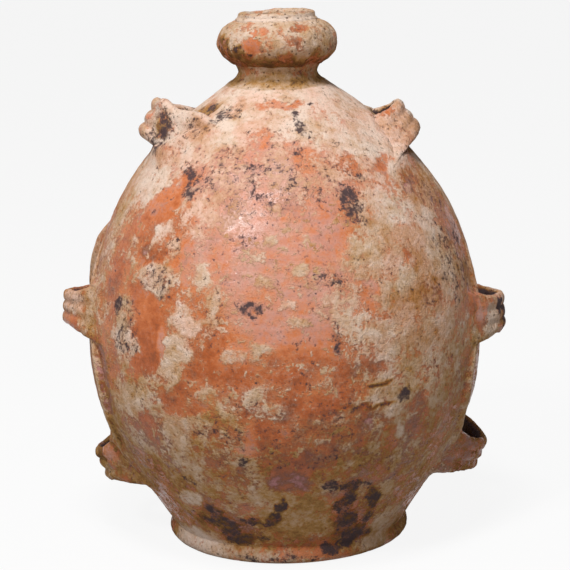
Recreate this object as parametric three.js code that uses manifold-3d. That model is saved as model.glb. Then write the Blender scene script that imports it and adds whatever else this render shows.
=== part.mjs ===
// A large glazed ceramic flask: an egg-shaped wheel-thrown body on a foot ring, a short neck
// under a bulbous mouth, and six pulled strap lugs, three down each side. Two low ridges of clay
// on each side keep a carrying strap in line as it runs down through the lugs.
//
// Millimetres, +Z up. The origin is on the ground at the centre of the foot ring, and the lugs
// stand out along +X (right) and -X (left).

import * as THREE from "three";
import { mergeVertices } from "three/addons/utils/BufferGeometryUtils.js";
import Module from "manifold-3d";

// Heights of the thrown sections, stacked from the ground up
const FOOT_RING_HEIGHT = 11;
const LOWER_BODY_HEIGHT = 139;
const UPPER_BODY_HEIGHT = 195;
const NECK_HEIGHT = 17;
const BULB_HEIGHT = 30.5;
const LIP_HEIGHT = 7.5;

// Radii of the foot ring and the body
const FOOT_RING_RADIUS = 91.5;
const FOOT_RING_WIDTH = 14;
const FOOT_EDGE_ROUND = 2;
const BODY_BASE_RADIUS = 88.5;
const BELLY_RADIUS = 148.5;
const NECK_JOINT_RADIUS = 38.9;

// Shape of the body wall: the angle above the horizontal at each end, and how far each curve
// keeps its direction before it bends
const BASE_WALL_ANGLE = 59;
const BASE_WALL_REACH = 72;
const LOWER_BELLY_REACH = 53;
const UPPER_BELLY_REACH = 44;
const SHOULDER_ANGLE = 33;
const SHOULDER_REACH = 125;

// Neck, mouth bulb and lip
const NECK_WAIST_RADIUS = 28.6;
const NECK_WAIST_HEIGHT = 11;
const BULB_JOINT_RADIUS = 32;
const BULB_RADIUS = 43.8;
const BULB_WIDEST_HEIGHT = 15.5;
const BULB_TOP_RADIUS = 31;
const BULB_UNDERSIDE_ANGLE = 35;
const BULB_TOP_ANGLE = 15;
const NECK_FLARE_ANGLE = 45;
const LIP_RADIUS = 27.8;
const LIP_EDGE_ROUND = 3;
const MOUTH_RADIUS = 19;
const MOUTH_EDGE_ROUND = 2;

// Wall thicknesses
const BODY_WALL = 8;
const FLOOR_THICKNESS = 9;
const BULB_WALL = 12;

// Sizes of the six strap lugs. The first of each says how far its middle is from the level it
// keeps to. REACH is how far it stands off the wall, WIDTH and THICKNESS the strap's own section,
// SPREAD how far forward and back its two roots sit, SPLAY how much further out they sit at the
// strap's lower edge than at its middle, and SLANT how much higher the front root is than the crown.
const UPPER_RIGHT_BELOW_NECK = 34.4;
const UPPER_RIGHT_REACH = 19.5;
const UPPER_RIGHT_WIDTH = 28;
const UPPER_RIGHT_THICKNESS = 8;
const UPPER_RIGHT_SPREAD = 38;
const UPPER_RIGHT_SPLAY = 13;

const UPPER_LEFT_BELOW_NECK = 30.7;
const UPPER_LEFT_REACH = 22.5;
const UPPER_LEFT_WIDTH = 28;
const UPPER_LEFT_THICKNESS = 8.5;
const UPPER_LEFT_SPREAD = 38;
const UPPER_LEFT_SPLAY = 12;
const UPPER_LEFT_SLANT = 3;

const MIDDLE_RIGHT_ABOVE_BELLY = 19.4;
const MIDDLE_RIGHT_REACH = 21.4;
const MIDDLE_RIGHT_WIDTH = 28;
const MIDDLE_RIGHT_THICKNESS = 10;
const MIDDLE_RIGHT_SPREAD = 50;
const MIDDLE_RIGHT_SPLAY = 3;
const MIDDLE_RIGHT_SLANT = 4;

const MIDDLE_LEFT_ABOVE_BELLY = 29.5;
const MIDDLE_LEFT_REACH = 21.5;
const MIDDLE_LEFT_WIDTH = 25;
const MIDDLE_LEFT_THICKNESS = 10;
const MIDDLE_LEFT_SPREAD = 46;
const MIDDLE_LEFT_SPLAY = 4;
const MIDDLE_LEFT_SLANT = 6;

const LOWER_RIGHT_ABOVE_BASE = 56;
const LOWER_RIGHT_REACH = 29;
const LOWER_RIGHT_WIDTH = 27;
const LOWER_RIGHT_THICKNESS = 9;
const LOWER_RIGHT_SPREAD = 42;

const LOWER_LEFT_ABOVE_BASE = 52.5;
const LOWER_LEFT_REACH = 25;
const LOWER_LEFT_WIDTH = 27;
const LOWER_LEFT_THICKNESS = 9;
const LOWER_LEFT_SPREAD = 40;
const LOWER_LEFT_SLANT = 3;

// Every strap's ribs and roots
const STRAP_GROOVE_DEPTH = 1.6;
const STRAP_BURIED_SHARE = 1.3;
const ROOT_FLARE_START = 0.4;
const ROOT_FLARE_END = 1.1;

// Ridges beside the strap's path. Each side has one ridge before and one behind the lugs, in
// two lengths: a long one that joins the middle lug to the lower one, and a short one that
// rises from the middle lug and fades out.
const RIDGE_WIDTH = 9;
const LOWER_RIDGE_HEIGHT = 4.5;
const LOWER_RIDGE_OFFSET = 3;
const LOWER_RIDGE_BOW = 12;
const UPPER_RIGHT_RIDGE_HEIGHT = 4.5;
const UPPER_LEFT_FRONT_RIDGE_HEIGHT = 3.5;
const UPPER_LEFT_BACK_RIDGE_HEIGHT = 8;
const UPPER_RIDGE_INSET = 12;
const UPPER_RIDGE_LENGTH = 48;
const UPPER_RIDGE_LEAN = 16;
const UPPER_RIDGE_FADE = 0.85;
const RIDGE_BURIED_DEPTH = 3;

// The gap kept between an applied piece and what it is luted to
const JOINT_GAP = 0.3;

// Fineness of the solids
const TURNED_SEGMENTS = 60;
const BODY_CURVE_STEPS = 12;
const INNER_CURVE_STEPS = 6;
const SMALL_CURVE_STEPS = 3;
const STRAP_STEPS = 18;
const STRAP_RIBS = 3;
const STRAP_STEPS_PER_RIB = 4;
const RIDGE_STEPS = 9;
const RIDGE_SECTION_STEPS = 6;

// Finishes: worn red glaze on the body, duller glaze on what is applied, sandy crust on the rest
const BODY_GLAZE = { color: new THREE.Color(0.58, 0.3, 0.18), roughness: 0.45, metalness: 0 };
const APPLIED_GLAZE = { color: new THREE.Color(0.58, 0.38, 0.26), roughness: 0.6, metalness: 0 };
const CRUST = { color: new THREE.Color(0.68, 0.54, 0.42), roughness: 0.8, metalness: 0 };

// Levels at which the thrown sections meet
const BASE_LEVEL = FOOT_RING_HEIGHT;
const BELLY_LEVEL = BASE_LEVEL + LOWER_BODY_HEIGHT;
const NECK_LEVEL = BELLY_LEVEL + UPPER_BODY_HEIGHT;
const BULB_LEVEL = NECK_LEVEL + NECK_HEIGHT;
const LIP_LEVEL = BULB_LEVEL + BULB_HEIGHT;

// The six strap lugs. Each is an arched strap that springs from the wall in front of and behind
// the flask's side. tilt is the angle it points above the horizontal, flare the share by which
// the roots are wider than the strap, and crown how round the arch is at its middle, where 0
// would be a sharp bend between straight legs.
const LUGS = [
  {
    name: "lug_upper_right",
    side: 1,
    height: NECK_LEVEL - UPPER_RIGHT_BELOW_NECK,
    tilt: 37,
    reach: UPPER_RIGHT_REACH,
    width: UPPER_RIGHT_WIDTH,
    thick: UPPER_RIGHT_THICKNESS,
    spread: UPPER_RIGHT_SPREAD,
    splay: UPPER_RIGHT_SPLAY,
    slant: 0,
    flare: 0.4,
    crown: 0.9,
  },
  {
    name: "lug_upper_left",
    side: -1,
    height: NECK_LEVEL - UPPER_LEFT_BELOW_NECK,
    tilt: 30.5,
    reach: UPPER_LEFT_REACH,
    width: UPPER_LEFT_WIDTH,
    thick: UPPER_LEFT_THICKNESS,
    spread: UPPER_LEFT_SPREAD,
    splay: UPPER_LEFT_SPLAY,
    slant: UPPER_LEFT_SLANT,
    flare: 0.4,
    crown: 0.9,
  },
  {
    name: "lug_middle_right",
    side: 1,
    height: BELLY_LEVEL + MIDDLE_RIGHT_ABOVE_BELLY,
    tilt: 0,
    reach: MIDDLE_RIGHT_REACH,
    width: MIDDLE_RIGHT_WIDTH,
    thick: MIDDLE_RIGHT_THICKNESS,
    spread: MIDDLE_RIGHT_SPREAD,
    splay: MIDDLE_RIGHT_SPLAY,
    slant: MIDDLE_RIGHT_SLANT,
    flare: 0.25,
    crown: 1.2,
  },
  {
    name: "lug_middle_left",
    side: -1,
    height: BELLY_LEVEL + MIDDLE_LEFT_ABOVE_BELLY,
    tilt: 5,
    reach: MIDDLE_LEFT_REACH,
    width: MIDDLE_LEFT_WIDTH,
    thick: MIDDLE_LEFT_THICKNESS,
    spread: MIDDLE_LEFT_SPREAD,
    splay: MIDDLE_LEFT_SPLAY,
    slant: MIDDLE_LEFT_SLANT,
    flare: 0.5,
    crown: 0.9,
  },
  {
    name: "lug_lower_right",
    side: 1,
    height: BASE_LEVEL + LOWER_RIGHT_ABOVE_BASE,
    tilt: -22,
    reach: LOWER_RIGHT_REACH,
    width: LOWER_RIGHT_WIDTH,
    thick: LOWER_RIGHT_THICKNESS,
    spread: LOWER_RIGHT_SPREAD,
    splay: 0,
    slant: 0,
    flare: 0.25,
    crown: 1.2,
  },
  {
    name: "lug_lower_left",
    side: -1,
    height: BASE_LEVEL + LOWER_LEFT_ABOVE_BASE,
    tilt: -20,
    reach: LOWER_LEFT_REACH,
    width: LOWER_LEFT_WIDTH,
    thick: LOWER_LEFT_THICKNESS,
    spread: LOWER_LEFT_SPREAD,
    splay: 0,
    slant: LOWER_LEFT_SLANT,
    flare: 0.5,
    crown: 0.9,
  },
];

// How far the short ridge above each middle lug stands out
const UPPER_RIDGE_HEIGHTS = {
  right_front: UPPER_RIGHT_RIDGE_HEIGHT,
  right_back: UPPER_RIGHT_RIDGE_HEIGHT,
  left_front: UPPER_LEFT_FRONT_RIDGE_HEIGHT,
  left_back: UPPER_LEFT_BACK_RIDGE_HEIGHT,
};

const wasm = await Module();
wasm.setup();

const point = (r, z) => new THREE.Vector2(r, z);

// A step of a given length in a direction above the horizontal
function along(angle, length) {
  const a = THREE.MathUtils.degToRad(angle);
  return point(Math.cos(a) * length, Math.sin(a) * length);
}

const curvePoints = (steps, ...controls) => new THREE.CubicBezierCurve(...controls).getPoints(steps);

// A quarter of a circle about a centre, from one angle to another
function arcPoints(centre, radius, fromAngle, toAngle) {
  const arc = [];
  for (let i = 0; i <= SMALL_CURVE_STEPS; i++) {
    const angle = THREE.MathUtils.lerp(fromAngle, toAngle, i / SMALL_CURVE_STEPS);
    arc.push(centre.clone().add(along(angle, radius)));
  }
  return arc;
}

// The body's outer wall, from its base up to the belly
function lowerWall() {
  const base = point(BODY_BASE_RADIUS, BASE_LEVEL);
  const belly = point(BELLY_RADIUS, BELLY_LEVEL);
  return curvePoints(
    BODY_CURVE_STEPS,
    base,
    base.clone().add(along(BASE_WALL_ANGLE, BASE_WALL_REACH)),
    belly.clone().add(along(-90, LOWER_BELLY_REACH)),
    belly,
  );
}

// The body's outer wall, from the belly up to the neck
function upperWall() {
  const belly = point(BELLY_RADIUS, BELLY_LEVEL);
  const neck = point(NECK_JOINT_RADIUS, NECK_LEVEL);
  return curvePoints(
    BODY_CURVE_STEPS,
    belly,
    belly.clone().add(along(90, UPPER_BELLY_REACH)),
    neck.clone().add(along(-SHOULDER_ANGLE, SHOULDER_REACH)),
    neck,
  );
}

// The inner wall of the lower body, from the belly down to the floor
function lowerInnerWall() {
  const floorLevel = BASE_LEVEL + FLOOR_THICKNESS;
  const inward = along(BASE_WALL_ANGLE + 90, BODY_WALL);
  const rise = FLOOR_THICKNESS - inward.y;
  const slope = Math.tan(THREE.MathUtils.degToRad(BASE_WALL_ANGLE));
  const floorEdge = point(BODY_BASE_RADIUS + inward.x + rise / slope, floorLevel);
  const belly = point(BELLY_RADIUS - BODY_WALL, BELLY_LEVEL);
  return curvePoints(
    INNER_CURVE_STEPS,
    belly,
    belly.clone().add(along(-90, LOWER_BELLY_REACH)),
    floorEdge.clone().add(along(BASE_WALL_ANGLE, BASE_WALL_REACH - FLOOR_THICKNESS)),
    floorEdge,
  );
}

// The inner wall of the upper body, from the neck down to the belly
function upperInnerWall() {
  const neck = point(NECK_JOINT_RADIUS, NECK_LEVEL);
  const inward = along(90 - SHOULDER_ANGLE, -BODY_WALL);
  const shoulderHandle = neck.add(along(-SHOULDER_ANGLE, SHOULDER_REACH)).add(inward);
  const belly = point(BELLY_RADIUS - BODY_WALL, BELLY_LEVEL);
  return curvePoints(
    INNER_CURVE_STEPS,
    point(MOUTH_RADIUS, NECK_LEVEL),
    shoulderHandle,
    belly.clone().add(along(90, UPPER_BELLY_REACH)),
    belly,
  );
}

// A profile turned about the Z axis. The profile runs up the outside and down the inside.
function turned(profile) {
  const geometry = new THREE.LatheGeometry(profile, TURNED_SEGMENTS);
  return geometry.rotateX(Math.PI / 2);
}

// Goes over a closed ring of points, so a profile that misses the axis closes on itself
const closedRing = (profile) => [...profile, profile[0].clone()];

function solidOf(geometry) {
  const bare = geometry.index ? geometry.toNonIndexed() : geometry.clone();
  bare.deleteAttribute("normal");
  bare.deleteAttribute("uv");
  const merged = mergeVertices(bare, 1e-4);
  return new wasm.Manifold(
    new wasm.Mesh({
      numProp: 3,
      vertProperties: merged.attributes.position.array,
      triVerts: new Uint32Array(merged.index.array),
    }),
  );
}

function geometryOf(solid) {
  const mesh = solid.getMesh();
  const geometry = new THREE.BufferGeometry();
  geometry.setAttribute("position", new THREE.BufferAttribute(mesh.vertProperties, 3));
  geometry.setIndex(new THREE.BufferAttribute(mesh.triVerts, 1));
  geometry.computeVertexNormals();
  return geometry;
}

// A closed skin through a row of rings with as many points each, with a fan over each end
function lofted(rings) {
  const count = rings[0].length;
  const positions = rings.flat().flatMap((p) => [p.x, p.y, p.z]);
  const index = [];
  for (let i = 0; i + 1 < rings.length; i++) {
    for (let j = 0; j < count; j++) {
      const here = i * count + j;
      const next = i * count + ((j + 1) % count);
      index.push(here, next, here + count, next, next + count, here + count);
    }
  }
  for (const row of [0, rings.length - 1]) {
    const centre = new THREE.Vector3();
    rings[row].forEach((p) => centre.addScaledVector(p, 1 / count));
    const middle = positions.length / 3;
    positions.push(centre.x, centre.y, centre.z);
    for (let j = 0; j < count; j++) {
      const edge = [row * count + j, row * count + ((j + 1) % count)];
      index.push(middle, ...(row === 0 ? edge.reverse() : edge));
    }
  }
  const geometry = new THREE.BufferGeometry();
  geometry.setAttribute("position", new THREE.Float32BufferAttribute(positions, 3));
  geometry.setIndex(index);
  return geometry;
}

// The radius of the body's outer wall at a height
function wallRadiusAt(z) {
  const wall = [...lowerWall(), ...upperWall()];
  const i = wall.findIndex((p) => p.y > z);
  const [low, high] = [wall[i - 1], wall[i]];
  return THREE.MathUtils.mapLinear(z, low.y, high.y, low.x, high.x);
}

// The body filled in and grown by the joint gap, which shapes the roots of what is luted to it
function bodyCutter() {
  const wall = [...lowerWall(), ...upperWall().slice(1)];
  const grown = wall.map((p, i) => {
    const before = wall[Math.max(i - 1, 0)];
    const after = wall[Math.min(i + 1, wall.length - 1)];
    const tangent = after.clone().sub(before).normalize();
    return p.clone().add(point(tangent.y, -tangent.x).multiplyScalar(JOINT_GAP));
  });
  const bottom = point(0, grown[0].y);
  const top = point(0, grown[grown.length - 1].y);
  return solidOf(turned([bottom, ...grown, top]));
}

// The strap's section: three rounded ribs on its outer face and a flat inner face
function strapSection(width, thick, groove) {
  const steps = STRAP_RIBS * STRAP_STEPS_PER_RIB;
  const section = [];
  for (let i = 0; i <= steps; i++) {
    const share = i / steps;
    const hump = Math.abs(Math.sin(Math.PI * STRAP_RIBS * share));
    section.push(point((share - 0.5) * width, thick / 2 - groove * (1 - hump)));
  }
  const innerCorner = width / 2 - STRAP_GROOVE_DEPTH;
  section.push(point(width / 2, 0), point(innerCorner, -thick / 2));
  section.push(point(-innerCorner, -thick / 2), point(-width / 2, 0));
  return section;
}

// A lug before its roots are cut to the wall. With grow above 0 it is that much larger all round.
function strapGeometry(lug, grow = 0) {
  const radius = wallRadiusAt(lug.height);
  const tilt = THREE.MathUtils.degToRad(lug.tilt);
  const start = new THREE.Vector3(lug.side * radius, 0, lug.height);
  const outward = new THREE.Vector3(lug.side * Math.cos(tilt), 0, Math.sin(tilt));
  const upward = new THREE.Vector3(-lug.side * Math.sin(tilt), 0, Math.cos(tilt));
  const width = lug.width + 2 * grow;
  const rise = lug.reach - lug.thick / 2;
  const drop = radius - Math.sqrt(radius ** 2 - lug.spread ** 2);
  const fall = (rise + drop) / (Math.hypot(1, lug.crown) - lug.crown);
  const rings = [];
  for (let i = 0; i <= STRAP_STEPS; i++) {
    const share = THREE.MathUtils.mapLinear(i, 0, STRAP_STEPS, -STRAP_BURIED_SHARE, STRAP_BURIED_SHARE);
    const root = THREE.MathUtils.smoothstep(Math.abs(share), ROOT_FLARE_START, ROOT_FLARE_END);
    const height = rise - fall * (Math.hypot(share, lug.crown) - lug.crown);
    const groove = STRAP_GROOVE_DEPTH * (1 - root);
    const ring = strapSection(width, lug.thick + 2 * grow, groove).map((p) => {
      const span = lug.spread - (lug.splay * p.x) / (width / 2);
      const slope = (-fall * share) / Math.hypot(share, lug.crown) / span;
      const facing = new THREE.Vector3(0, -slope, 0).add(outward).normalize();
      const across = p.x * (1 + lug.flare * root) - lug.slant * share;
      const place = start.clone().addScaledVector(outward, height).addScaledVector(upward, across);
      place.y += share * span;
      return place.addScaledVector(facing, p.y);
    });
    rings.push(lug.side > 0 ? ring.reverse() : ring);
  }
  return lofted(rings);
}

// A ridge of clay that lies on the wall, before its foot is cut to the wall. Its path gives the
// height, the azimuth from the flask's side in degrees, and how far the ridge stands out.
function ridgeGeometry(side, front, path) {
  const rings = [];
  for (let i = 0; i <= RIDGE_STEPS; i++) {
    const [z, azimuth, proud] = path(i / RIDGE_STEPS);
    const turn = THREE.MathUtils.degToRad(azimuth);
    const radial = new THREE.Vector3(side * Math.cos(turn), front * -Math.sin(turn), 0);
    const across = new THREE.Vector3(-side * Math.sin(turn), front * -Math.cos(turn), 0);
    const foot = radial.clone().multiplyScalar(wallRadiusAt(z) - RIDGE_BURIED_DEPTH);
    foot.z = z;
    const ring = [];
    for (let j = 0; j <= RIDGE_SECTION_STEPS; j++) {
      const angle = (Math.PI * j) / RIDGE_SECTION_STEPS;
      const tall = (proud + RIDGE_BURIED_DEPTH) * Math.sin(angle);
      const wide = (RIDGE_WIDTH / 2) * Math.cos(angle);
      ring.push(foot.clone().addScaledVector(across, wide).addScaledVector(radial, tall));
    }
    rings.push(side * front > 0 ? ring : ring.reverse());
  }
  return lofted(rings);
}

// The azimuth, in degrees from the flask's side, of a point on the wall that far forward
function azimuthOf(forward, z) {
  return THREE.MathUtils.radToDeg(Math.asin(forward / wallRadiusAt(z)));
}

// The short ridge above a middle lug, leaning in towards the side's centre line as it fades out
function upperRidgePath(middle, proud) {
  const from = middle.height + middle.width / 2;
  return (share) => {
    const z = from + UPPER_RIDGE_LENGTH * share;
    const forward = middle.spread - UPPER_RIDGE_INSET - UPPER_RIDGE_LEAN * share;
    return [z, azimuthOf(forward, z), proud * (1 - UPPER_RIDGE_FADE * share ** 2)];
  };
}

// The long ridge between a lower and a middle lug, bowed away from the side's centre line
function lowerRidgePath(lower, middle, proud) {
  const from = lower.height + lower.width / 2;
  const to = middle.height - middle.width / 2;
  return (share) => {
    const z = THREE.MathUtils.lerp(from, to, share);
    const root = THREE.MathUtils.lerp(lower.spread, middle.spread, share);
    const forward = root + LOWER_RIDGE_OFFSET + LOWER_RIDGE_BOW * Math.sin(Math.PI * share);
    return [z, azimuthOf(forward, z), proud];
  };
}

function footRing() {
  const inner = FOOT_RING_RADIUS - FOOT_RING_WIDTH;
  const round = FOOT_EDGE_ROUND;
  return turned(
    closedRing([
      ...arcPoints(point(inner + round, round), round, 180, 270),
      ...arcPoints(point(FOOT_RING_RADIUS - round, round), round, 270, 360),
      point(FOOT_RING_RADIUS, FOOT_RING_HEIGHT),
      point(inner, FOOT_RING_HEIGHT),
    ]),
  );
}

function lowerBody() {
  const wall = lowerWall();
  const inner = lowerInnerWall();
  return turned([point(0, BASE_LEVEL), ...wall, ...inner, point(0, BASE_LEVEL + FLOOR_THICKNESS)]);
}

function upperBody() {
  return turned(closedRing([...upperWall(), ...upperInnerWall()]));
}

function neck() {
  const joint = point(NECK_JOINT_RADIUS, NECK_LEVEL);
  const waist = point(NECK_WAIST_RADIUS, NECK_LEVEL + NECK_WAIST_HEIGHT);
  const top = point(BULB_JOINT_RADIUS, BULB_LEVEL);
  const below = NECK_WAIST_HEIGHT / 2;
  const above = (NECK_HEIGHT - NECK_WAIST_HEIGHT) / 2;
  const lower = curvePoints(
    SMALL_CURVE_STEPS,
    joint,
    joint.clone().add(along(180 - SHOULDER_ANGLE, below)),
    waist.clone().add(along(-90, below)),
    waist,
  );
  const upper = curvePoints(
    SMALL_CURVE_STEPS,
    waist,
    waist.clone().add(along(90, above)),
    top.clone().add(along(180 + NECK_FLARE_ANGLE, above)),
    top,
  );
  const bore = [point(MOUTH_RADIUS, BULB_LEVEL), point(MOUTH_RADIUS, NECK_LEVEL)];
  return turned(closedRing([...lower, ...upper.slice(1), ...bore]));
}

function mouthBulb() {
  const bottom = point(BULB_JOINT_RADIUS, BULB_LEVEL);
  const widest = point(BULB_RADIUS, BULB_LEVEL + BULB_WIDEST_HEIGHT);
  const top = point(BULB_TOP_RADIUS, LIP_LEVEL);
  const below = BULB_WIDEST_HEIGHT / 2;
  const above = (BULB_HEIGHT - BULB_WIDEST_HEIGHT) / 2;
  const outside = [
    ...curvePoints(
      2 * SMALL_CURVE_STEPS,
      bottom,
      bottom.clone().add(along(BULB_UNDERSIDE_ANGLE, below)),
      widest.clone().add(along(-90, below)),
      widest,
    ),
    ...curvePoints(
      2 * SMALL_CURVE_STEPS,
      widest,
      widest.clone().add(along(90, above)),
      top.clone().add(along(-BULB_TOP_ANGLE, above)),
      top,
    ).slice(1),
  ];
  const hollow = point(BULB_RADIUS - BULB_WALL, BULB_LEVEL + BULB_WIDEST_HEIGHT);
  const inside = [
    ...curvePoints(
      SMALL_CURVE_STEPS,
      point(MOUTH_RADIUS, LIP_LEVEL),
      point(MOUTH_RADIUS, LIP_LEVEL).add(along(-BULB_TOP_ANGLE, above)),
      hollow.clone().add(along(90, above)),
      hollow,
    ),
    ...curvePoints(
      SMALL_CURVE_STEPS,
      hollow,
      hollow.clone().add(along(-90, below)),
      point(MOUTH_RADIUS, BULB_LEVEL).add(along(BULB_UNDERSIDE_ANGLE, below)),
      point(MOUTH_RADIUS, BULB_LEVEL),
    ).slice(1),
  ];
  return turned(closedRing([...outside, ...inside]));
}

function lipRing() {
  const rim = LIP_LEVEL + LIP_HEIGHT;
  return turned(
    closedRing([
      point(LIP_RADIUS, LIP_LEVEL),
      ...arcPoints(point(LIP_RADIUS - LIP_EDGE_ROUND, rim - LIP_EDGE_ROUND), LIP_EDGE_ROUND, 0, 90),
      ...arcPoints(point(MOUTH_RADIUS + MOUTH_EDGE_ROUND, rim - MOUTH_EDGE_ROUND), MOUTH_EDGE_ROUND, 90, 180),
      point(MOUTH_RADIUS, LIP_LEVEL),
    ]),
  );
}

// The main body of a ridge, without the offcuts left on the far side of a root that crosses it
const largestOf = (solid) => solid.decompose().sort((a, b) => b.volume() - a.volume())[0];

const flask = new THREE.Group();

function addPiece(name, geometry, finish) {
  const mesh = new THREE.Mesh(geometry, new THREE.MeshStandardMaterial(finish));
  mesh.name = name;
  flask.add(mesh);
}

addPiece("foot_ring", footRing(), CRUST);
addPiece("lower_body", lowerBody(), BODY_GLAZE);
addPiece("upper_body", upperBody(), BODY_GLAZE);
addPiece("neck", neck(), CRUST);
addPiece("mouth_bulb", mouthBulb(), CRUST);
addPiece("lip_ring", lipRing(), CRUST);

const cutter = bodyCutter();
for (const lug of LUGS) {
  addPiece(lug.name, geometryOf(solidOf(strapGeometry(lug)).subtract(cutter)), APPLIED_GLAZE);
}

const lugOn = (side, level) => LUGS.find((lug) => lug.name === `lug_${level}_${side}`);
for (const side of ["right", "left"]) {
  const middle = lugOn(side, "middle");
  const lower = lugOn(side, "lower");
  const neighbours = [middle, lower].map((lug) => solidOf(strapGeometry(lug, JOINT_GAP)));
  for (const face of ["front", "back"]) {
    const paths = {
      upper: upperRidgePath(middle, UPPER_RIDGE_HEIGHTS[`${side}_${face}`]),
      lower: lowerRidgePath(lower, middle, LOWER_RIDGE_HEIGHT),
    };
    for (const [level, path] of Object.entries(paths)) {
      const whole = solidOf(ridgeGeometry(middle.side, face === "front" ? 1 : -1, path));
      const fitted = [cutter, ...neighbours].reduce((ridge, other) => ridge.subtract(other), whole);
      addPiece(`ridge_${level}_${side}_${face}`, geometryOf(largestOf(fitted)), APPLIED_GLAZE);
    }
  }
}

export default flask;
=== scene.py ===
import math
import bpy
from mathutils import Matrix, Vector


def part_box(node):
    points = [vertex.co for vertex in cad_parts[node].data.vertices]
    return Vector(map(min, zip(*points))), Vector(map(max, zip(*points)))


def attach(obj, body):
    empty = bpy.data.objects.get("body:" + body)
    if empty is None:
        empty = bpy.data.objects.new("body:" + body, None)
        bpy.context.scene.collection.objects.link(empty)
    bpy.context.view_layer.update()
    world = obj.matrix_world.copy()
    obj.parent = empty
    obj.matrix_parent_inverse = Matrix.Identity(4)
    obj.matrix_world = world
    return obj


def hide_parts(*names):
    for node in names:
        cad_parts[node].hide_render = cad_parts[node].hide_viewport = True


bl_info = {
    "name": "Weathered Glazed Flask",
    "version": (1, 0, 0),
    "blender": (4, 5, 0),
    "location": "View3D > Sidebar > Flask",
    "description": "Builds a large weathered ceramic flask with strap lugs, and its plain stage",
    "category": "Object",
}

from typing import NamedTuple

import bpy
import numpy as np
from bpy.props import FloatProperty, FloatVectorProperty, IntProperty, PointerProperty
from mathutils import Color, Matrix, Vector
from mathutils.kdtree import KDTree

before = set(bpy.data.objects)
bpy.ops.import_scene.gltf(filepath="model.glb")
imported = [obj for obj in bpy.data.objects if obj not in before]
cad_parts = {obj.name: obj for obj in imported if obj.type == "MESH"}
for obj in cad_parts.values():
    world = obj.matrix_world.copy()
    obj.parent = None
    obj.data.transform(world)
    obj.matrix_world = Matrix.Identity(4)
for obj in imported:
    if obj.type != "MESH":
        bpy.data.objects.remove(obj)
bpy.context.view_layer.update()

MM = 0.001
ROOT = "root"
FOOT_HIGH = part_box("foot_ring")[1]
BODY_LOW, BODY_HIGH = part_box("lower_body")
SHOULDER_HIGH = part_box("upper_body")[1]
BULB_LOW, BULB_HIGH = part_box("mouth_bulb")
LIP_LOW, LIP_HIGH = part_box("lip_ring")

# From here on, lengths are in millimetres and angles in degrees, but for the stage.

# The wall's curve, as in the solid model
BASE_RADIUS = 88.5
NECK_JOINT_RADIUS = 38.9
BASE_WALL_ANGLE, BASE_WALL_REACH = 59, 72
LOWER_BELLY_REACH, UPPER_BELLY_REACH = 53, 44
SHOULDER_ANGLE, SHOULDER_REACH = 33, 125
LOWER_WALL_STEPS, UPPER_WALL_STEPS = 160, 220
NECK_WAIST_RADIUS, NECK_WAIST_HEIGHT = 28.6, 11
NECK_CURVE_REACH, NECK_CURVE_STEPS = 5, 20
BULB_JOINT_RADIUS, BULB_TOP_RADIUS = 32, 31
BULB_WIDEST_HEIGHT = 15.5
BULB_LOW_ANGLE, BULB_TOP_ANGLE, BULB_CURVE_STEPS = 35, -15, 24
MOUTH_RADIUS = 19
WALL_THICKNESS, FLOOR_THICKNESS = 8, 9

# The parts of the body's skin that the outer wall doesn't give
UNDERSIDE_RADII = (50, 78)
NECK_LAND = 8
INSIDE_STEP = 12
INSIDE_FLOOR_RADIUS = 40
INSIDE_MARKS = {"crust": 0.5, "stain": 0.85}

# The foot ring: steps out from its radius, with heights from the ground or from the base
FOOT_SIDE = [(-13, 1.5), (-11, 0.2), (-4, 0.2), (-1.6, 1.2), (0.3, 4.0), (0.3, 7.0), (-0.8, 10)]
FOOT_TOP = [(-1.7, 2), (-2.0, 4.5), (-4, 6)]
FOOT_INSIDE = [(-12, 5), (-13.5, -1)]
FOOT_STEP, FOOT_COLUMNS = 1.8, 340
FOOT_SEAT = (0.3, 2.5)  # heights between which the unevenness of its sides sets in
FOOT_SWAY = 0.6
FOOT_BEARING = 8  # width of the uneven band at its outer edge

# The mouth: steps out and up from the neck's joint, from the bulb's two ends and its widest
# part, then for the lip from the bulb's top, from its own edges and from the bore
NECK_ROOT = [(-1.5, -4.5), (-0.3, -0.6)]
BULB_ROOT, BULB_END = [(-6, -1.0)], [(-5, 0.5)]
BULB_HOLLOW = [(-14, 20), (-14, 12)]
LIP_ROOT = [(0.5, -1.5), (-1.0, 0.3)]
LIP_SIDE = [(2.4, 1.6), (0.9, 3.0), (0.2, 4.6), (0.2, 6.0)]
LIP_EDGE = [(-0.1, -0.8), (-1.2, -0.1)]
LIP_BORE = [(2.6, 0), (0.6, -0.8), (0, -2.6)]
MOUTH_STEP, LIP_STEP = 1.6, 1.2
NECK_COLUMNS, BULB_COLUMNS, LIP_COLUMNS = 160, 190, 150
MOUTH_LINING = 4  # how far from the bore the unevenness starts
MOUTH_SWAY = 0.5
# The bands below are painted shade: the neck's painted shadow of the bulb, which ends at the
# shoulder, and painted shade on the bulb's underside.
NECK_SHADOW_BAND, BULB_UNDERSIDE_SHADE = (-0.5, 350, 344), (0.55, 375, 363)  # change of stain between two heights
NECK_SHADOW_PALING = 0.9
LINING_LEVELS = (375, 398)
WORN_LEVELS, WORN_BAND = (398.2, 399.2), (22, 24)
WORN_MARKS = {"crust": -0.22, "hue": -0.15, "stain": 0.2}
RIM_DIP, RIM_LEAN, RIM_WAVER, RIM_LOW_TURN = 0.7, 0.55, 0.25, 200


class Strap(NamedTuple):
    """One pulled strap lug."""

    side: int  # 1 on the right, -1 on the left
    height: float  # of its middle
    tilt: float  # of the direction in which it stands off the wall
    reach: float  # how far it stands off the wall
    width: float
    thickness: float
    spread: float  # from its middle to each root
    splay: float  # how much further out the roots are at its lower edge
    slant: float  # how much higher the front root is
    flare_up: float  # how much its upper half widens at the roots
    flare_down: float
    crown: float  # how round the arch is
    groove: float  # how deep the finger grooves are
    back_rise: float  # how much higher the back root is
    smear: tuple  # how far its clay spreads on the wall: in front, behind and under it


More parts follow.
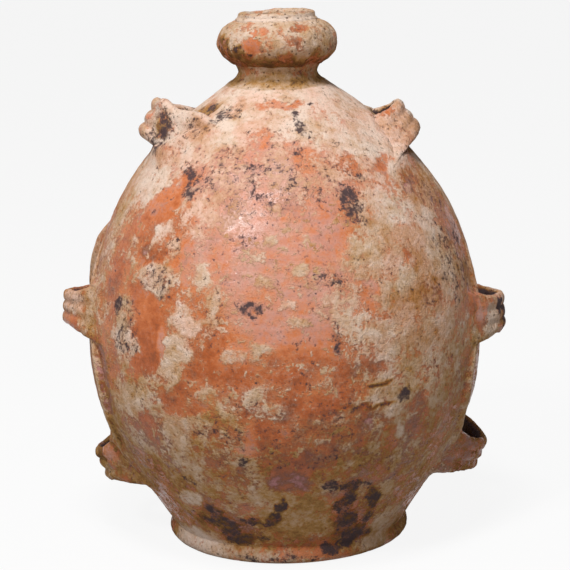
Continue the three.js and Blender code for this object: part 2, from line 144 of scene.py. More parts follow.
STRAPS = {
    "lug_upper_right": Strap(
        1, 310.3, 37, 20, 28, 8, 43, 13, 0, 0.4, -0.05, 0.9, 1.1, 0, (20, 16, 2.5)
    ),
    "lug_upper_left": Strap(
        -1, 313.6, 30, 24, 30, 11, 40, -2, 1.5, 0.6, 0.0, 0.9, 1.9, -1, (18, 14, 2.5)
    ),
    "lug_middle_right": Strap(
        1, 169.4, 0, 21.6, 28, 10, 50, 3, 4, 0.25, 0.25, 1.2, 1.3, 0, (10, 9, 2)
    ),
    "lug_middle_left": Strap(
        -1, 179.5, 5, 21.8, 25.5, 10, 46, 4, 6, 0.45, 0.5, 0.9, 1.6, 0, (10, 9, 2)
    ),
    "lug_lower_right": Strap(
        1, 68, -25, 30.3, 27, 9.5, 42, 0, 0, 0.25, 0.25, 1.2, 1.4, 5, (10, 10, 2.5)
    ),
    "lug_lower_left": Strap(
        -1, 64.3, -22, 26, 27.5, 9.5, 40, 0, 3, 0.5, 0.5, 0.9, 1.7, 0, (12, 10, 2.5)
    ),
}

# Lumps of clay on the lugs: x, y, height, radius and how far each lifts the skin
LUMPS = [(-84, -20, 328, 16, 7.5), (-92, -2, 334, 12, 1.5)]

# A strap's section has three ribs outside, one point at each side and a soft inner face. Points
# are counted from the lower edge of the outside.
RIBS, RIB_POINTS, INNER_POINTS = 3, 6, 9
INNER_FIRST = RIBS * RIB_POINTS + 2
INNER_LAST = INNER_FIRST + INNER_POINTS - 1
STRAP_END = 1.3  # how far a strap runs on into the wall, as a share of its spread
STRAP_ROOT = (0.4, 1.1)  # where along it a root starts and is full
STRAP_RINGS, SMEAR_RINGS = 74, 90
LUG_ROUGHNESS = 1.3
ROOT_GROOVE_FADE, ROOT_SWELL, BACK_FLARE = 0.8, 0.9, 0.5
RIB_POWER, EDGE_THINNING, EDGE_POWER = 0.8, 0.12, 6
INNER_ROUNDING, INNER_POWER, SIDE_OVERHANG = 0.5, 4, 0.6
FOOT_SPREAD, FOOT_SPREAD_HEIGHT = 4.5, 3.0  # how far a strap's foot spreads, and how near the wall
SMEAR_RANGE = 85  # from a strap's middle to the last points that its clay may reach
SMEAR_TALLEST, SMEAR_SHARE, UNDER_SHARE = 9, 0.8, 0.3
# Painted shade on the wall under each strap and on the straps' inner faces, where light doesn't
# reach into the passages
STRAP_SHADE_RANGE, STRAP_SHADE_FULL = 22, 0.45
STRAP_SHADE_MARKS = {"stain": 0.5, "dark": 0.3}
INNER_FACE_SHADE_MARKS = {"stain": 0.7, "dark": 0.6}

# The ridges: how proud each upper one stands, and the section, as points across a bell shape
RIDGE_PROUD = {"right_front": 4.5, "right_back": 4.5, "left_front": 3.5, "left_back": 10}
RIDGE_LANE = np.linspace(-11, 11, 23)
RIDGE_UNDER = (18, 11, 4)  # the points of the lane that also have one under the wall's face
RIDGE_BELL, RIDGE_CREST = 4.6, 2.6
RIDGE_SINK, RIDGE_DEPTH = 0.7, 4
UPPER_RUN, LOWER_RUN = (-0.06, 1.25, 34), (-0.05, 1.05, 56)  # shares of the length, and rings
HIGH_RIDGE, HIGH_FADE, LOW_FADE = 8, 0.35, 0.85
UPPER_END = (1.2, 0.75)
# A pale line along each ridge's crest: crust, partly a painted highlight.
CREST_CRUST_AND_HIGHLIGHT, CREST_STAIN, CREST_SHARE = 0.45, 0.3, 0.7

# What is on the surface before any patch is laid
BARE = {"crust": 0.1, "hue": 0.35, "stain": 0.35, "dark": -0.2, "rosy": 0.4}

# What changes towards the foot, between two heights: browner and darker, partly earth stain and
# partly painted shade
LOW_ZONE = (200, 70)
LOW_STAIN_AND_SHADE = {"stain": 0.27, "hue": -0.2, "rosy": -0.3}

# Waves of noise: amount, size, layers and shift in space
WAVES = {
    "aside": [(5.5, 16, 3, 11.0), (1.6, 5, 2, 71.0)],
    "rise": [(5.5, 16, 3, 53.0), (1.6, 5, 2, 93.0)],
    "ragged": [(1, 6, 3, 67.0)],
    "crust": [(0.42, 30, 3, 5.0), (0.36, 9, 3, 17.0)],
    "hue": [(0.2, 24, 3, 29.0)],
    "stain": [(0.2, 20, 3, 41.0)],
    "dark": [(0.3, 12, 3, 59.0), (0.2, 5, 2, 61.0)],
    "rosy": [(0.35, 28, 2, 83.0)],
    "sway": [(1.0, 75, 2, 3.0), (0.35, 26, 2, 7.0)],
    "wheel": [(2, 60, 2, 13.0)],
    "crust_lumps": [(0.28, 7, 2, 19.0)],
    "mouth_lumps": [(0.4, 13, 2, 31.0)],
    "lug_lumps": [(0.9, 16, 2, 23.0)],
    "ridge_lumps": [(0.5, 14, 2, 23.0)],
}
WHEEL_MARK_HEIGHT, WHEEL_MARK_PITCH = 0.08, 6.3
CRUST_EDGE, CRUST_HEIGHT = (-0.06, 0.14), 0.45

# How much of each thing a kind of patch leaves on the surface. Crust above 0 covers the glaze.
# Hue runs from brown through orange to pink glaze, stain from cream to brown crust, and dark
# above 0 is black speckle. Stain and dark also carry painted shade: under the straps, on the
# bulb's underside, low on the body and down the bore.
KINDS = {
    "bright_orange": {"crust": -0.46, "hue": 0.5},
    "orange": {"crust": -0.34, "hue": 0.4},
    "deep_orange": {"crust": -0.42, "hue": 0.25},
    "pink": {"crust": -0.2, "hue": 0.85},
    "salmon": {"crust": -0.22, "hue": 0.72},
    "red_brown": {"crust": -0.16, "hue": 0.1},
    "flecked_orange": {"crust": -0.08, "hue": 0.26, "stain": 0.3, "rosy": 0.1},
    "flecked_brown": {"crust": -0.04, "hue": 0.06, "stain": 0.42, "rosy": 0.0},
    "char": {"crust": 0.2, "stain": 0.9, "dark": 0.5},
    "purple": {"crust": -0.8, "hue": -0.14, "dark": -0.5},
    "amber": {"crust": 0.5, "hue": 0.35, "stain": 0.56, "dark": -0.3, "rosy": -0.5},
    "bright_amber": {"crust": 0.18, "hue": 0.5, "stain": 0.34, "dark": -0.2, "rosy": 0.1},
    "bare_orange": {"crust": -1.0, "hue": 0.36, "dark": -0.4},
    "mauve": {"crust": -0.1, "hue": -0.12, "stain": 0.5, "dark": -0.3},
    "grey_brown": {"crust": 0.28, "hue": 0.0, "stain": 0.46, "rosy": 1.0, "dark": -0.1},
    "mauve_pink": {"crust": 0.02, "hue": 0.95, "stain": 0.42, "rosy": 1.3, "dark": 0.02},
    "pink_brown": {"crust": 0.4, "hue": 0.7, "stain": 0.34, "rosy": 1.2, "dark": -0.2},
    "smooth_grey": {"crust": 0.12, "hue": 0.15, "stain": 0.5, "rosy": 0.6},
    "crack": {"crust": 0.1, "stain": 1.0, "dark": 0.1},
    "rose": {"crust": 0.26, "stain": 0.2, "rosy": 1.0},
    "mottle": {"crust": 0.22, "hue": 0.7, "stain": 0.24, "rosy": 0.95, "dark": 0.0},
    "haze": {"crust": 0.5, "stain": 0.36, "rosy": 1.0, "dark": 0.0},
    "cream": {"crust": 0.46, "stain": 0.15},
    "pale_beige": {"crust": 0.52, "hue": 0.7, "stain": 0.07, "rosy": 0.35},
    "beige": {"crust": 0.42, "stain": 0.31},
    "tan": {"crust": 0.34, "stain": 0.4},
    "ochre": {"crust": 0.18, "stain": 0.46, "rosy": -0.2},
    "brown": {"crust": 0.12, "stain": 0.82},
    "black": {"dark": 0.28},
    "soot": {"crust": 0.24, "stain": 0.9, "dark": 0.28, "rosy": -0.5},
    "speckle": {"dark": 0.08},
}


class Patch(NamedTuple):
    """A patch of one kind on the wall, round a point at a turn from the front and a height."""

    kind: str
    turn: float  # towards the right
    height: float
    across: float  # half its width
    up: float  # half its height
    amount: float = 1.0
    lean: float = 0.0  # to the left


def runs(*rows):
    """Each row's kind with each of its places."""
    return [(kind, *place) for kind, *places in rows for place in places]


# Patches on the wall, by kind: turn, height, half width, half height, amount and lean
WALL_ROWS = runs(
    ("pale_beige", (10, 330, 120, 46, 0.95), (-55, 300, 60, 40, 0.9), (60, 262, 60, 60, 0.9)),
    ("beige", (46, 190, 60, 60, 0.9)),
    ("ochre", (60, 120, 60, 50, 0.8)),
    ("tan", (-35, 110, 60, 32, 0.85)),
    ("ochre", (0, 52, 90, 32, 0.85)),
    ("smooth_grey", (72, 240, 24, 60, 0.8)),
    ("tan", (30, 240, 22, 26, 0.7)),
    ("beige", (38, 232, 38, 34, 0.8)),
    ("grey_brown", (61, 274, 22, 17, 0.9), (44, 250, 12, 26, 0.6), (36, 196, 20, 9, 0.6)),
    ("red_brown", (72, 236, 14, 20, 0.9)),
    ("beige", (83, 204, 12, 14, 0.8)),
    ("red_brown", (78, 130, 16, 36, 0.9)),
    ("beige", (34, 172, 36, 32, 0.85)),
    ("tan", (38, 126, 34, 24, 0.8)),
    ("ochre", (46, 90, 24, 22, 0.8)),
    ("beige", (-82, 262, 34, 18, 0.9)),
    ("smooth_grey", (-82, 170, 18, 80, 0.7)),
    ("flecked_brown", (6, 118, 52, 26, 0.85)),
    ("orange", (-2, 166, 62, 32, 0.9)),
    ("flecked_orange", (0, 150, 44, 22, 0.85)),
    ("red_brown", (3, 137, 32, 13, 0.75)),
    ("salmon", (4, 215, 52, 42, 0.95)),
    ("mottle", (0, 290, 74, 20, 0.9)),
    ("salmon", (6, 250, 36, 36, 0.85)),
    ("pink", (-13, 255, 38, 38, 0.9)),
    ("salmon", (-26, 240, 22, 22, 0.8)),
    ("pink", (-28, 292, 16, 20, 0.45)),
    ("rose", (-29, 262, 13, 22, 0.95)),
    ("mottle", (-5, 306, 34, 12, 0.8), (2, 282, 56, 16, 0.7)),
    ("mauve_pink", (-9, 290, 28, 22, 0.85), (-11, 262, 20, 14, 0.5)),
    ("rose", (-18, 320, 12, 10, 0.8)),
    ("pale_beige", (39, 311, 20, 12, 0.9)),
    ("rose", (39, 288, 16, 12, 0.7)),
    ("pale_beige", (43, 263, 14, 11, 0.85)),
    ("beige", (24, 233, 17, 17, 0.9), (13, 207, 8, 11, 0.75)),
    ("pink_brown", (42, 248, 10, 7, 0.7), (34, 231, 7, 11, 0.7)),
    ("grey_brown", (46, 206, 19, 10, 0.8)),
    ("rose", (-10, 290, 30, 10, 0.55)),
    ("deep_orange", (-20, 150, 24, 14, 0.7), (-3, 158, 22, 16, 0.5), (8, 140, 22, 10, 0.6)),
    ("bright_orange", (-45, 273, 12, 33, 1, -38)),
    ("deep_orange", (-60, 226, 9, 26, 0.8, -8)),
    ("orange", (-45, 238, 17, 9, 0.5)),
    ("bare_orange", (-43, 186, 18, 30)),
    ("orange", (13, 300, 14, 10, 0.35), (30, 296, 12, 9, 0.75)),
    ("bright_orange", (49, 294, 11, 6, 0.8, 10)),
    ("salmon", (19, 268, 20, 14, 0.35), (27, 283, 14, 6, 0.8)),
    ("red_brown", (-44, 239, 12, 7, 0.9)),
    ("pink", (26, 218, 6, 3, 0.9)),
    ("orange", (-10, 316, 9, 9, 0.6), (3, 336, 22, 4, 0.6)),
    ("red_brown", (14, 106, 26, 15, 0.8)),
    ("deep_orange", (-30, 136, 21, 9, 0.7)),
    ("red_brown", (-26, 95, 15, 10, 0.6), (-48, 112, 9, 22, 0.7, 30), (23, 161, 15, 6, 0.8),
        (40, 116, 8, 24, 0.85)),
    ("pink", (-10, 112, 6, 14, 0.3)),
    ("purple", (0, 73, 14, 15)),
    ("cream", (-31, 202, 4, 6, 0.95), (-27, 192, 10, 6, 0.95), (-31, 174, 10, 11, 0.95)),
    ("beige", (-33, 160, 8, 16, 0.8)),
    ("cream", (-24, 227, 7, 8, 0.9), (-20, 209, 4, 9, 0.9), (-14, 174, 8, 5, 0.75, 20),
        (-7, 179, 9, 5, 0.75, -10), (1, 206, 6, 4, 0.9)),
    ("beige", (-5, 223, 7, 5, 0.7)),
    ("cream", (-40, 222, 22, 10)),
    ("beige", (-36, 243, 6, 10, 0.9), (-3, 250, 6, 4, 0.9)),
    ("cream", (-42, 253, 7, 13, 0.95, -30)),
    ("beige", (-50, 131, 26, 11, 1, 12)),
    ("tan", (-15, 142, 24, 9, 0.6)),
    ("beige", (-52, 172, 9, 22, 0.75)),
    ("cream", (5, 231, 6, 4, 0.8)),
    ("beige", (4, 196, 7, 4, 0.7), (17, 205, 14, 22, 0.6)),
    ("cream", (-16, 297, 4, 4), (-39, 53, 13, 6, 1, 35)),
    ("amber", (2, 46, 34, 26, 0.95)),
    ("ochre", (-18, 57, 25, 15)),
    ("beige", (46, 20, 24, 18, 0.9, 20)),
    # A bright band round the foot's front: orange glaze, partly a painted highlight.
    ("bright_amber", (-3, 2, 52, 11, 0.95)),
    # The lit left of the foot: cream crust, partly a painted highlight.
    ("cream", (-50, 6, 30, 17)),
    ("pale_beige", (-52, 8, 24, 12, 0.8)),
    ("orange", (53, 6, 4, 4, 0.9)),
    ("beige", (66, 62, 18, 24, 0.6)),
    ("black", (26, 272, 8, 11), (14, 322, 4, 15, 1, 15), (-38, 329, 9, 6, 0.9, -20),
        (-38, 290, 12, 6, 1, -40), (-36, 281, 6, 8, 0.9)),
    ("speckle", (-20, 300, 14, 14, 0.9), (14, 222, 16, 8, 0.8)),
    ("black", (-9, 204, 10, 5, 1, -30)),
    ("cream", (-51, 172, 17, 12)),
    ("beige", (-51, 195, 14, 12, 0.9)),
    ("black", (-54, 197, 10, 8), (-53, 172, 8, 9)),
    ("speckle", (-49, 184, 14, 22)),
    ("pink", (-36, 178, 4, 12, 0.9)),
    ("mauve", (-66, 142, 14, 28, 0.8, 10)),
    ("deep_orange", (-44, 112, 8, 13, 0.8, 20)),
    # A crack under a raised edge: its dark line is partly painted shadow, and the thin cream line
    # just above it is a painted highlight on the edge.
    ("crack", (23, 132, 20, 1.8, 1, -3)),
    ("cream", (23, 136, 20, 2, 0.7, -3)),
    ("crack", (26, 149, 10, 1.6)),
    ("cream", (34, 110, 3, 8), (38, 118, 5, 4, 0.9), (30, 124, 4, 3, 0.8)),
    ("orange", (-6, 118, 22, 8, 0.8)),
    ("ochre", (-19, 112, 17, 18, 0.9)),
    ("pink", (-12, 104, 7, 6, 0.8)),
    ("red_brown", (8, 92, 14, 8, 0.9)),
    ("speckle", (-40, 220, 20, 11), (-36, 243, 5, 10)),
    ("black", (60, 208, 5, 22, 0.7)),
    ("speckle", (56, 232, 6, 24, 0.6)),
    ("haze", (-51, 319, 9, 15), (-60, 300, 16, 10, 0.8), (-33, 334, 5, 13, 0.8, 12)),
    ("black", (14, 183, 4, 14, 0.9), (34, 138, 6, 6), (15, 127, 4, 5, 0.9), (-14, 94, 4, 5),
        (-34, 71, 8, 4, 0.8), (20, 69, 26, 4, 0.9, -8), (25, 335, 3, 3, 0.8), (16, 222, 4, 3, 0.9),
        (26, 260, 7, 3, 0.8), (-23, 116, 7, 4, 0.8)),
    ("brown", (27, 32, 17, 26, 0.8, 8), (-28, 34, 20, 13, 0.75, -25), (-12, 28, 18, 7, 0.5)),
    ("soot", (-31, 46, 9, 8, 1, -30), (-28, 34, 13, 8, 1, -20), (-24, 22, 14, 7, 1, -20),
        (-16, 39, 9, 3, 1, -12), (-9, 37, 8, 3, 1, 15), (-6, 42, 5, 5), (-3, 53, 3, 9, 1, -15),
        (-14, 23, 12, 3, 1, -8), (21, 70, 8, 4, 0.9), (21, 54, 6, 17, 1, -4),
        (24, 34, 8, 13, 1, 6), (29, 19, 15, 10, 1, -10), (20, 10, 9, 4), (32, 55, 6, 12, 1, 12),
        (34, 34, 5, 10, 0.8)),
    ("speckle", (-4, 4, 44, 3), (0, 120, 60, 40, 0.5), (68, 235, 20, 40, 0.8)),
)
WALL_PATCHES = [Patch(*row) for row in WALL_ROWS]
PATCH_EDGE, PATCH_MARGIN, PATCH_SPAN = (1.35, 0.7), 1.4, 100
BEHIND_SEED, BEHIND_TURN, BEHIND_LIFT = 4, (160, 200), (-14, 14)  # for their repeats at the back

# Patches round a point on what is applied to the wall, by kind: x, y, height, radius and amount
POINT_PATCHES = runs(
    ("soot", (-89, -34, 319, 9, 0.75)),
    ("black", (-86, -30, 314, 15, 0.7)),
    ("salmon", (-80, -40, 322, 5, 0.8)),
    ("orange", (-96, -12, 327, 6, 0.8)),
    ("cream", (-90, -6, 336, 12, 0.9)),
    ("beige", (-102, -10, 314, 8, 0.9), (-110, 0, 325, 14, 0.9)),
    ("pink_brown", (98, -26, 318, 20, 0.95), (84, -34, 322, 14, 0.7)),
    ("orange", (80, -20, 332, 8, 0.5)),
    ("cream", (152, -33, 170, 14, 1)),
    ("char", (160, -24, 178, 6, 1), (166, -14, 170, 8, 1), (163, -20, 160, 5, 0.9)),
    # Painted highlight on the middle right lug's front root, in pink glaze.
    ("pink", (141, -44, 178, 9, 1), (135, -45, 180, 10, 0.8)),
    ("cream", (158, -20, 178, 10, 0.8), (-158, -20, 188, 10, 0.8)),
    ("orange", (-158, -15, 168, 10, 0.8)),
    ("salmon", (-134, -28, 71, 9, 0.7)),
    ("ochre", (-128, -32, 56, 11, 0.9)),
    ("cream", (-152, -30, 188, 9, 0.8)),
    ("orange", (-154, -28, 170, 11, 0.8)),
    ("red_brown", (127, -38, 60, 15, 0.9)),
    ("ochre", (-138, -10, 52, 10, 0.9)),
    ("red_brown", (140, -25, 66, 16, 0.9)),
    ("beige", (150, 0, 76, 10, 0.8)),
    ("brown", (-39, -17, 375, 10, 0.8), (-27, -32, 370, 7, 0.8)),
    ("tan", (32, -26, 378, 12, 0.8)),
    ("brown", (26, -30, 371, 6, 0.6), (6, -38, 369, 7, 0.5)),
    ("tan", (0, -26, 360, 13, 0.8)),
    ("ochre", (22, -20, 360, 13, 0.8), (-22, -20, 360, 13, 0.8), (32, -26, 370, 10, 0.6)),
    ("bright_orange", (-19, -40, 377, 6.5, 1)),
    ("orange", (-15, -37, 385.5, 3.5, 0.8), (-9, -38, 386, 3.5, 0.8)),
    ("red_brown", (14, -34, 388, 5, 0.75), (13.5, -41, 380, 4, 0.75), (15, -40, 375, 3.5, 0.7)),
    ("brown", (-36, -23, 377, 6, 0.7)),
    ("soot", (-38, -20, 381, 2.4, 0.9), (-39, -18, 375, 2.2, 0.9), (-35, -26, 380, 2.6, 0.9),
        (-35, -27, 376, 2.4, 0.9), (-30, -32, 375, 3.2, 0.9), (-26, -35, 377, 2.2, 1),
        (-22, -38, 371, 2.4, 0.9)),
)
POINT_EDGE, POINT_WARP, POINT_RAGGED = (1.35, 0.8), 0.5, 0.5

# How coarse and how pitted the surface of each clay is; the pits are also darkened as painted
# shade
CLAYS = {
    "body_clay": (1.0, 0.15),
    "foot_clay": (1.0, 0.15),
    "mouth_clay": (1.8, 0.75),
    "lug_clay": (1.3, 0.6),
}

# The stage, in metres. Each lamp: place, target, size and power
LAMPS = {
    "key_light": ((-0.97, -1.55, 1.9), (0, 0, 0.25), 0.45, 25),
    "front_light": ((0.3, -2.6, 0.8), (0, 0, 0.25), 2.0, 9.5),
    "top_light": ((-0.2, -0.95, 2.3), (0, 0, 0.3), 0.55, 34),
}
FLOOR_REACH, FLOOR_GREY = 15, 0.38
BACKGROUND_STRENGTH, BACKGROUND_SHARE = 1.12, 0.8
ROOM_LIGHT = 0.16

# The photograph's view
EYE_PLACE = (0, -1.45, 0.5)
EYE_DOWN, EYE_ROLL = 11.985, 1.45
SENSOR_WIDTH, FOCAL_LENGTH = 36, 122.74
AXIS_SHIFT, PICTURE_WIDTH = 1.8, 570


def along(angle, length):
    turn = math.radians(angle)
    return np.array([math.cos(turn) * length, math.sin(turn) * length])


def curve_points(steps, *controls):
    share = np.linspace(0, 1, steps + 1)[:, None]
    a, b, c, d = (np.array(p, float) for p in controls)
    rest = 1 - share
    return rest**3 * a + 3 * share * rest**2 * b + 3 * share**2 * rest * c + share**3 * d


def smooth_step(value, low, high):
    share = np.clip((value - low) / (high - low), 0, 1)
    return share * share * (3 - 2 * share)


def travelled(profile):
    """How far along the profile each of its points is."""
    return np.concatenate([[0], np.cumsum(np.hypot(*np.diff(profile, axis=0).T))])


def evenly(profile, step):
    """The same profile with its points a step apart."""
    profile = np.array(profile, float)
    far = travelled(profile)
    at = np.linspace(0, far[-1], max(2, round(far[-1] / step) + 1))
    return np.stack([np.interp(at, far, profile[:, k]) for k in (0, 1)], 1)


def steps_from(radius, height, steps):
    return [(radius + out, height + up) for out, up in steps]


def rounds(points):
    """How far each point is from the axis."""
    return np.hypot(points[:, 0], points[:, 1])


class Wall:
    """The body's outer wall: its radius, its slope and the length along it, by height."""

    def __init__(self, sizes):
        base = np.array([BASE_RADIUS, sizes.base_level / MM])
        belly = np.array([sizes.belly_radius / MM, sizes.belly_level / MM])
        neck = np.array([NECK_JOINT_RADIUS, sizes.neck_level / MM])
        low = curve_points(
            LOWER_WALL_STEPS,
            base,
            base + along(BASE_WALL_ANGLE, BASE_WALL_REACH),
            belly + along(-90, LOWER_BELLY_REACH),
            belly,
        )
        high = curve_points(
            UPPER_WALL_STEPS,
            belly,
            belly + along(90, UPPER_BELLY_REACH),
            neck + along(-SHOULDER_ANGLE, SHOULDER_REACH),
            neck,
        )
        self.outline = np.concatenate([low, high[1:]])
        self.lengths = travelled(self.outline)
        self.slopes = np.gradient(self.outline[:, 0], self.outline[:, 1])

    def radius(self, z):
        return np.interp(z, self.outline[:, 1], self.outline[:, 0])

    def slope(self, z):
        return np.interp(z, self.outline[:, 1], self.slopes)

    def length(self, z):
        below = np.minimum(z - self.outline[0, 1], 0)
        return np.interp(z, self.outline[:, 1], self.lengths) + below

    def normals(self, points):
        """The wall's outward direction at the height of each point."""
        far = rounds(points) + 1e-9
        out = np.stack([points[:, 0] / far, points[:, 1] / far, -self.slope(points[:, 2])], 1)
        return out / np.linalg.norm(out, axis=1)[:, None]

    def above(self, points):
        """How far each point stands off the wall, square to it."""
        z = points[:, 2]
        return (rounds(points) - self.radius(z)) / np.hypot(1, self.slope(z))

    def onto(self, points):
        """Each point moved level onto the wall."""
        share = self.radius(points[:, 2]) / (rounds(points) + 1e-9)
        return points * np.stack([share, share, np.ones_like(share)], 1)

    def inside(self):
        """The inner face's profile, from the neck down to the floor."""
        away = WALL_THICKNESS / np.hypot(1, self.slopes)[:, None]
        inner = self.outline - np.stack([np.ones_like(self.slopes), -self.slopes], 1) * away
        over_floor = inner[:, 1] > self.outline[0, 1] + FLOOR_THICKNESS
        inner = inner[over_floor & (inner[:, 0] > MOUTH_RADIUS)]
        return evenly(inner[::-1], INSIDE_STEP)


class ClayNoise:
    """Smooth seeded noise in space, from about -1 to 1."""

    DIRECTIONS = 256
    GAIN, LAYERED_GAIN = 1.6, 1.25
    LAYER_SHIFT, LAYER_FADE = 37.1, 0.55

    def __init__(self, seed):
        draw = np.random.default_rng(seed)
        self.order = np.tile(draw.permutation(self.DIRECTIONS), 2)
        slopes = draw.normal(size=(self.DIRECTIONS, 3))
        self.slopes = slopes / np.linalg.norm(slopes, axis=1)[:, None]

    def at(self, points, size):
        place = points / size
        cell = np.floor(place).astype(int)
        part = place - cell
        ease = part**3 * (part * (part * 6 - 15) + 10)
        total = np.zeros(len(points))
        for corner in np.ndindex(2, 2, 2):
            x, y, z = ((cell + corner) % self.DIRECTIONS).T
            slope = self.slopes[self.order[self.order[self.order[x] + y] + z]]
            share = np.prod(np.where(corner, ease, 1 - ease), axis=1)
            total += share * np.einsum("ij,ij->i", slope, part - corner)
        return total * self.GAIN

    def layered(self, points, size, layers, shift):
        total, weight, full = 0.0, 1.0, 0.0
        for k in range(layers):
            place = points + shift + self.LAYER_SHIFT * k
            total = total + weight * self.at(place, size / 2**k)
            full += weight
            weight *= self.LAYER_FADE
        return total / full * self.LAYERED_GAIN

    def waves(self, name, points):
        return sum(amount * self.layered(points, *wave) for amount, *wave in WAVES[name])


class WeatheringAndShade:
    """What time has left on the surface, with some painted shade: crust, glaze hue, stain and dark
    speckle by place.
    """

    def __init__(self, sizes, wall):
        self.wall = wall
        self.noise = ClayNoise(sizes.seed)

    def fields(self, points, walled=True, **start):
        """How much of each thing is at each point. Start gives what differs from the bare wall."""
        found = {what: np.full(len(points), v) for what, v in {**BARE, **start}.items()}
        # Browner and darker towards the foot: partly earth stain, partly painted shade.
        low = smooth_step(points[:, 2], *LOW_ZONE)
        for what, change in LOW_STAIN_AND_SHADE.items():
            found[what] += change * low
        warp = [self.noise.waves(name, points) for name in ("aside", "rise")]
        if walled:
            self.lay_wall_patches(found, points, *warp)
        ragged = self.noise.waves("ragged", points)
        for kind, x, y, z, radius, amount in POINT_PATCHES:
            away = np.linalg.norm(points - (x, y, z), axis=1) + warp[0] * POINT_WARP
            weight = amount * smooth_step(away / radius + POINT_RAGGED * ragged, *POINT_EDGE)
            self.lay(found, kind, weight)
        for what in BARE:
            found[what] += self.noise.waves(what, points)
        return found

    def lay(self, found, kind, weight, where=slice(None)):
        for what, level in KINDS[kind].items():
            found[what][where] += weight * (level - found[what][where])

    def lay_wall_patches(self, found, points, warp_aside, warp_rise):
        wall = self.wall
        azimuth = np.degrees(np.arctan2(points[:, 0], -points[:, 1]))
        length = wall.length(points[:, 2])
        draw = np.random.default_rng(BEHIND_SEED)
        behind = [
            p._replace(
                turn=p.turn + draw.uniform(*BEHIND_TURN),
                height=p.height + draw.uniform(*BEHIND_LIFT),
            )
            for p in WALL_PATCHES
        ]
        for patch in [*WALL_PATCHES, *behind]:
            aside = (azimuth - patch.turn + 180) % 360 - 180
            reach = np.radians(aside) * wall.radius(patch.height) + warp_aside
            rise = length - wall.length(patch.height) + warp_rise
            farthest = PATCH_MARGIN * max(patch.across, patch.up)
            near = (np.abs(reach) < farthest) & (np.abs(rise) < farthest)
            near &= np.abs(aside) < PATCH_SPAN
            if not near.any():
                continue
            c, s = along(patch.lean, 1)
            a = (c * reach[near] + s * rise[near]) / patch.across
            b = (c * rise[near] - s * reach[near]) / patch.up
            weight = patch.amount * smooth_step(np.hypot(a, b), *PATCH_EDGE)
            self.lay(found, patch.kind, weight, near)

    def sway(self, points):
        """The hand-made unevenness of the thrown wall."""
        return self.noise.waves("sway", points)

    def swayed(self, points):
        """Points that stand on the wall, moved as it sways under them."""
        sway = self.sway(self.wall.onto(points))
        return points + self.wall.normals(points) * sway[:, None]

    def relief(self, points, found, rough=1.0):
        """How far crust, wheel marks and lumps lift the surface."""
        crust = smooth_step(found["crust"], *CRUST_EDGE)
        phase = points[:, 2] * 2 * math.pi / WHEEL_MARK_PITCH + self.noise.waves("wheel", points)
        marks = WHEEL_MARK_HEIGHT * np.sin(phase)
        lumps = self.noise.waves("crust_lumps", points)
        return marks * (1 - crust) + rough * crust * (CRUST_HEIGHT + lumps)


def mesh_object(name, points, faces, found=None):
    """A smooth mesh from points in millimetres, with what weathering left as attributes."""
    mesh = bpy.data.meshes.new(name)
    mesh.from_pydata((np.asarray(points) * MM).tolist(), [], faces)
    mesh.validate()
    mesh.polygons.foreach_set("use_smooth", np.ones(len(mesh.polygons), bool))
    for what, values in (found or {}).items():
        attribute = mesh.attributes.new(what, "FLOAT", "POINT")
        attribute.data.foreach_set("value", values.astype(np.float32))
    mesh.update()
    piece = bpy.data.objects.new(name, mesh)
    bpy.context.scene.collection.objects.link(piece)
    return piece


def turned(profile, columns):
    """Points and faces of a profile turned about the axis, up the outside and down the inside."""
    turn = np.linspace(0, 2 * math.pi, columns, endpoint=False)
    points, rows = [], []
    for r, z in profile:
        if r < 1e-6:
            rows.append(np.array([len(points)]))
            points.append((0.0, 0.0, z))
        else:
            rows.append(np.arange(len(points), len(points) + columns))
            points.extend(zip(r * np.sin(turn), -r * np.cos(turn), np.full(columns, z)))
    if len(rows[0]) > 1:
        rows.append(rows[0])
    faces = []
    for low, high in zip(rows, rows[1:]):
        if len(low) == 1:
            fan = [np.full(columns, low[0]), np.roll(high, -1), high]
        elif len(high) == 1:
            fan = [low, np.roll(low, -1), np.full(columns, high[0])]
        else:
            fan = [low, np.roll(low, -1), np.roll(high, -1), high]
        faces += np.stack(fan, 1).tolist()
    return np.array(points), faces


def lofted(rings):
    """Points and faces of a closed skin through rings with as many points each."""
    rows = np.arange(len(rings) * len(rings[0])).reshape(len(rings), -1)
    ahead = np.roll(rows, -1, 1)
    faces = np.stack([rows[:-1], ahead[:-1], ahead[1:], rows[1:]], 2).reshape(-1, 4).tolist()
    return np.concatenate(rings), [*faces, rows[0, ::-1].tolist(), rows[-1].tolist()]


def point_normals(points, faces):
    mesh = bpy.data.meshes.new("normals")
    mesh.from_pydata(np.asarray(points).tolist(), [], faces)
    normals = np.zeros(len(points) * 3)
    mesh.vertices.foreach_get("normal", normals)
    bpy.data.meshes.remove(mesh)
    return normals.reshape(-1, 3)


def lifted(points, faces, lift):
    return points + point_normals(points, faces) * lift[:, None]


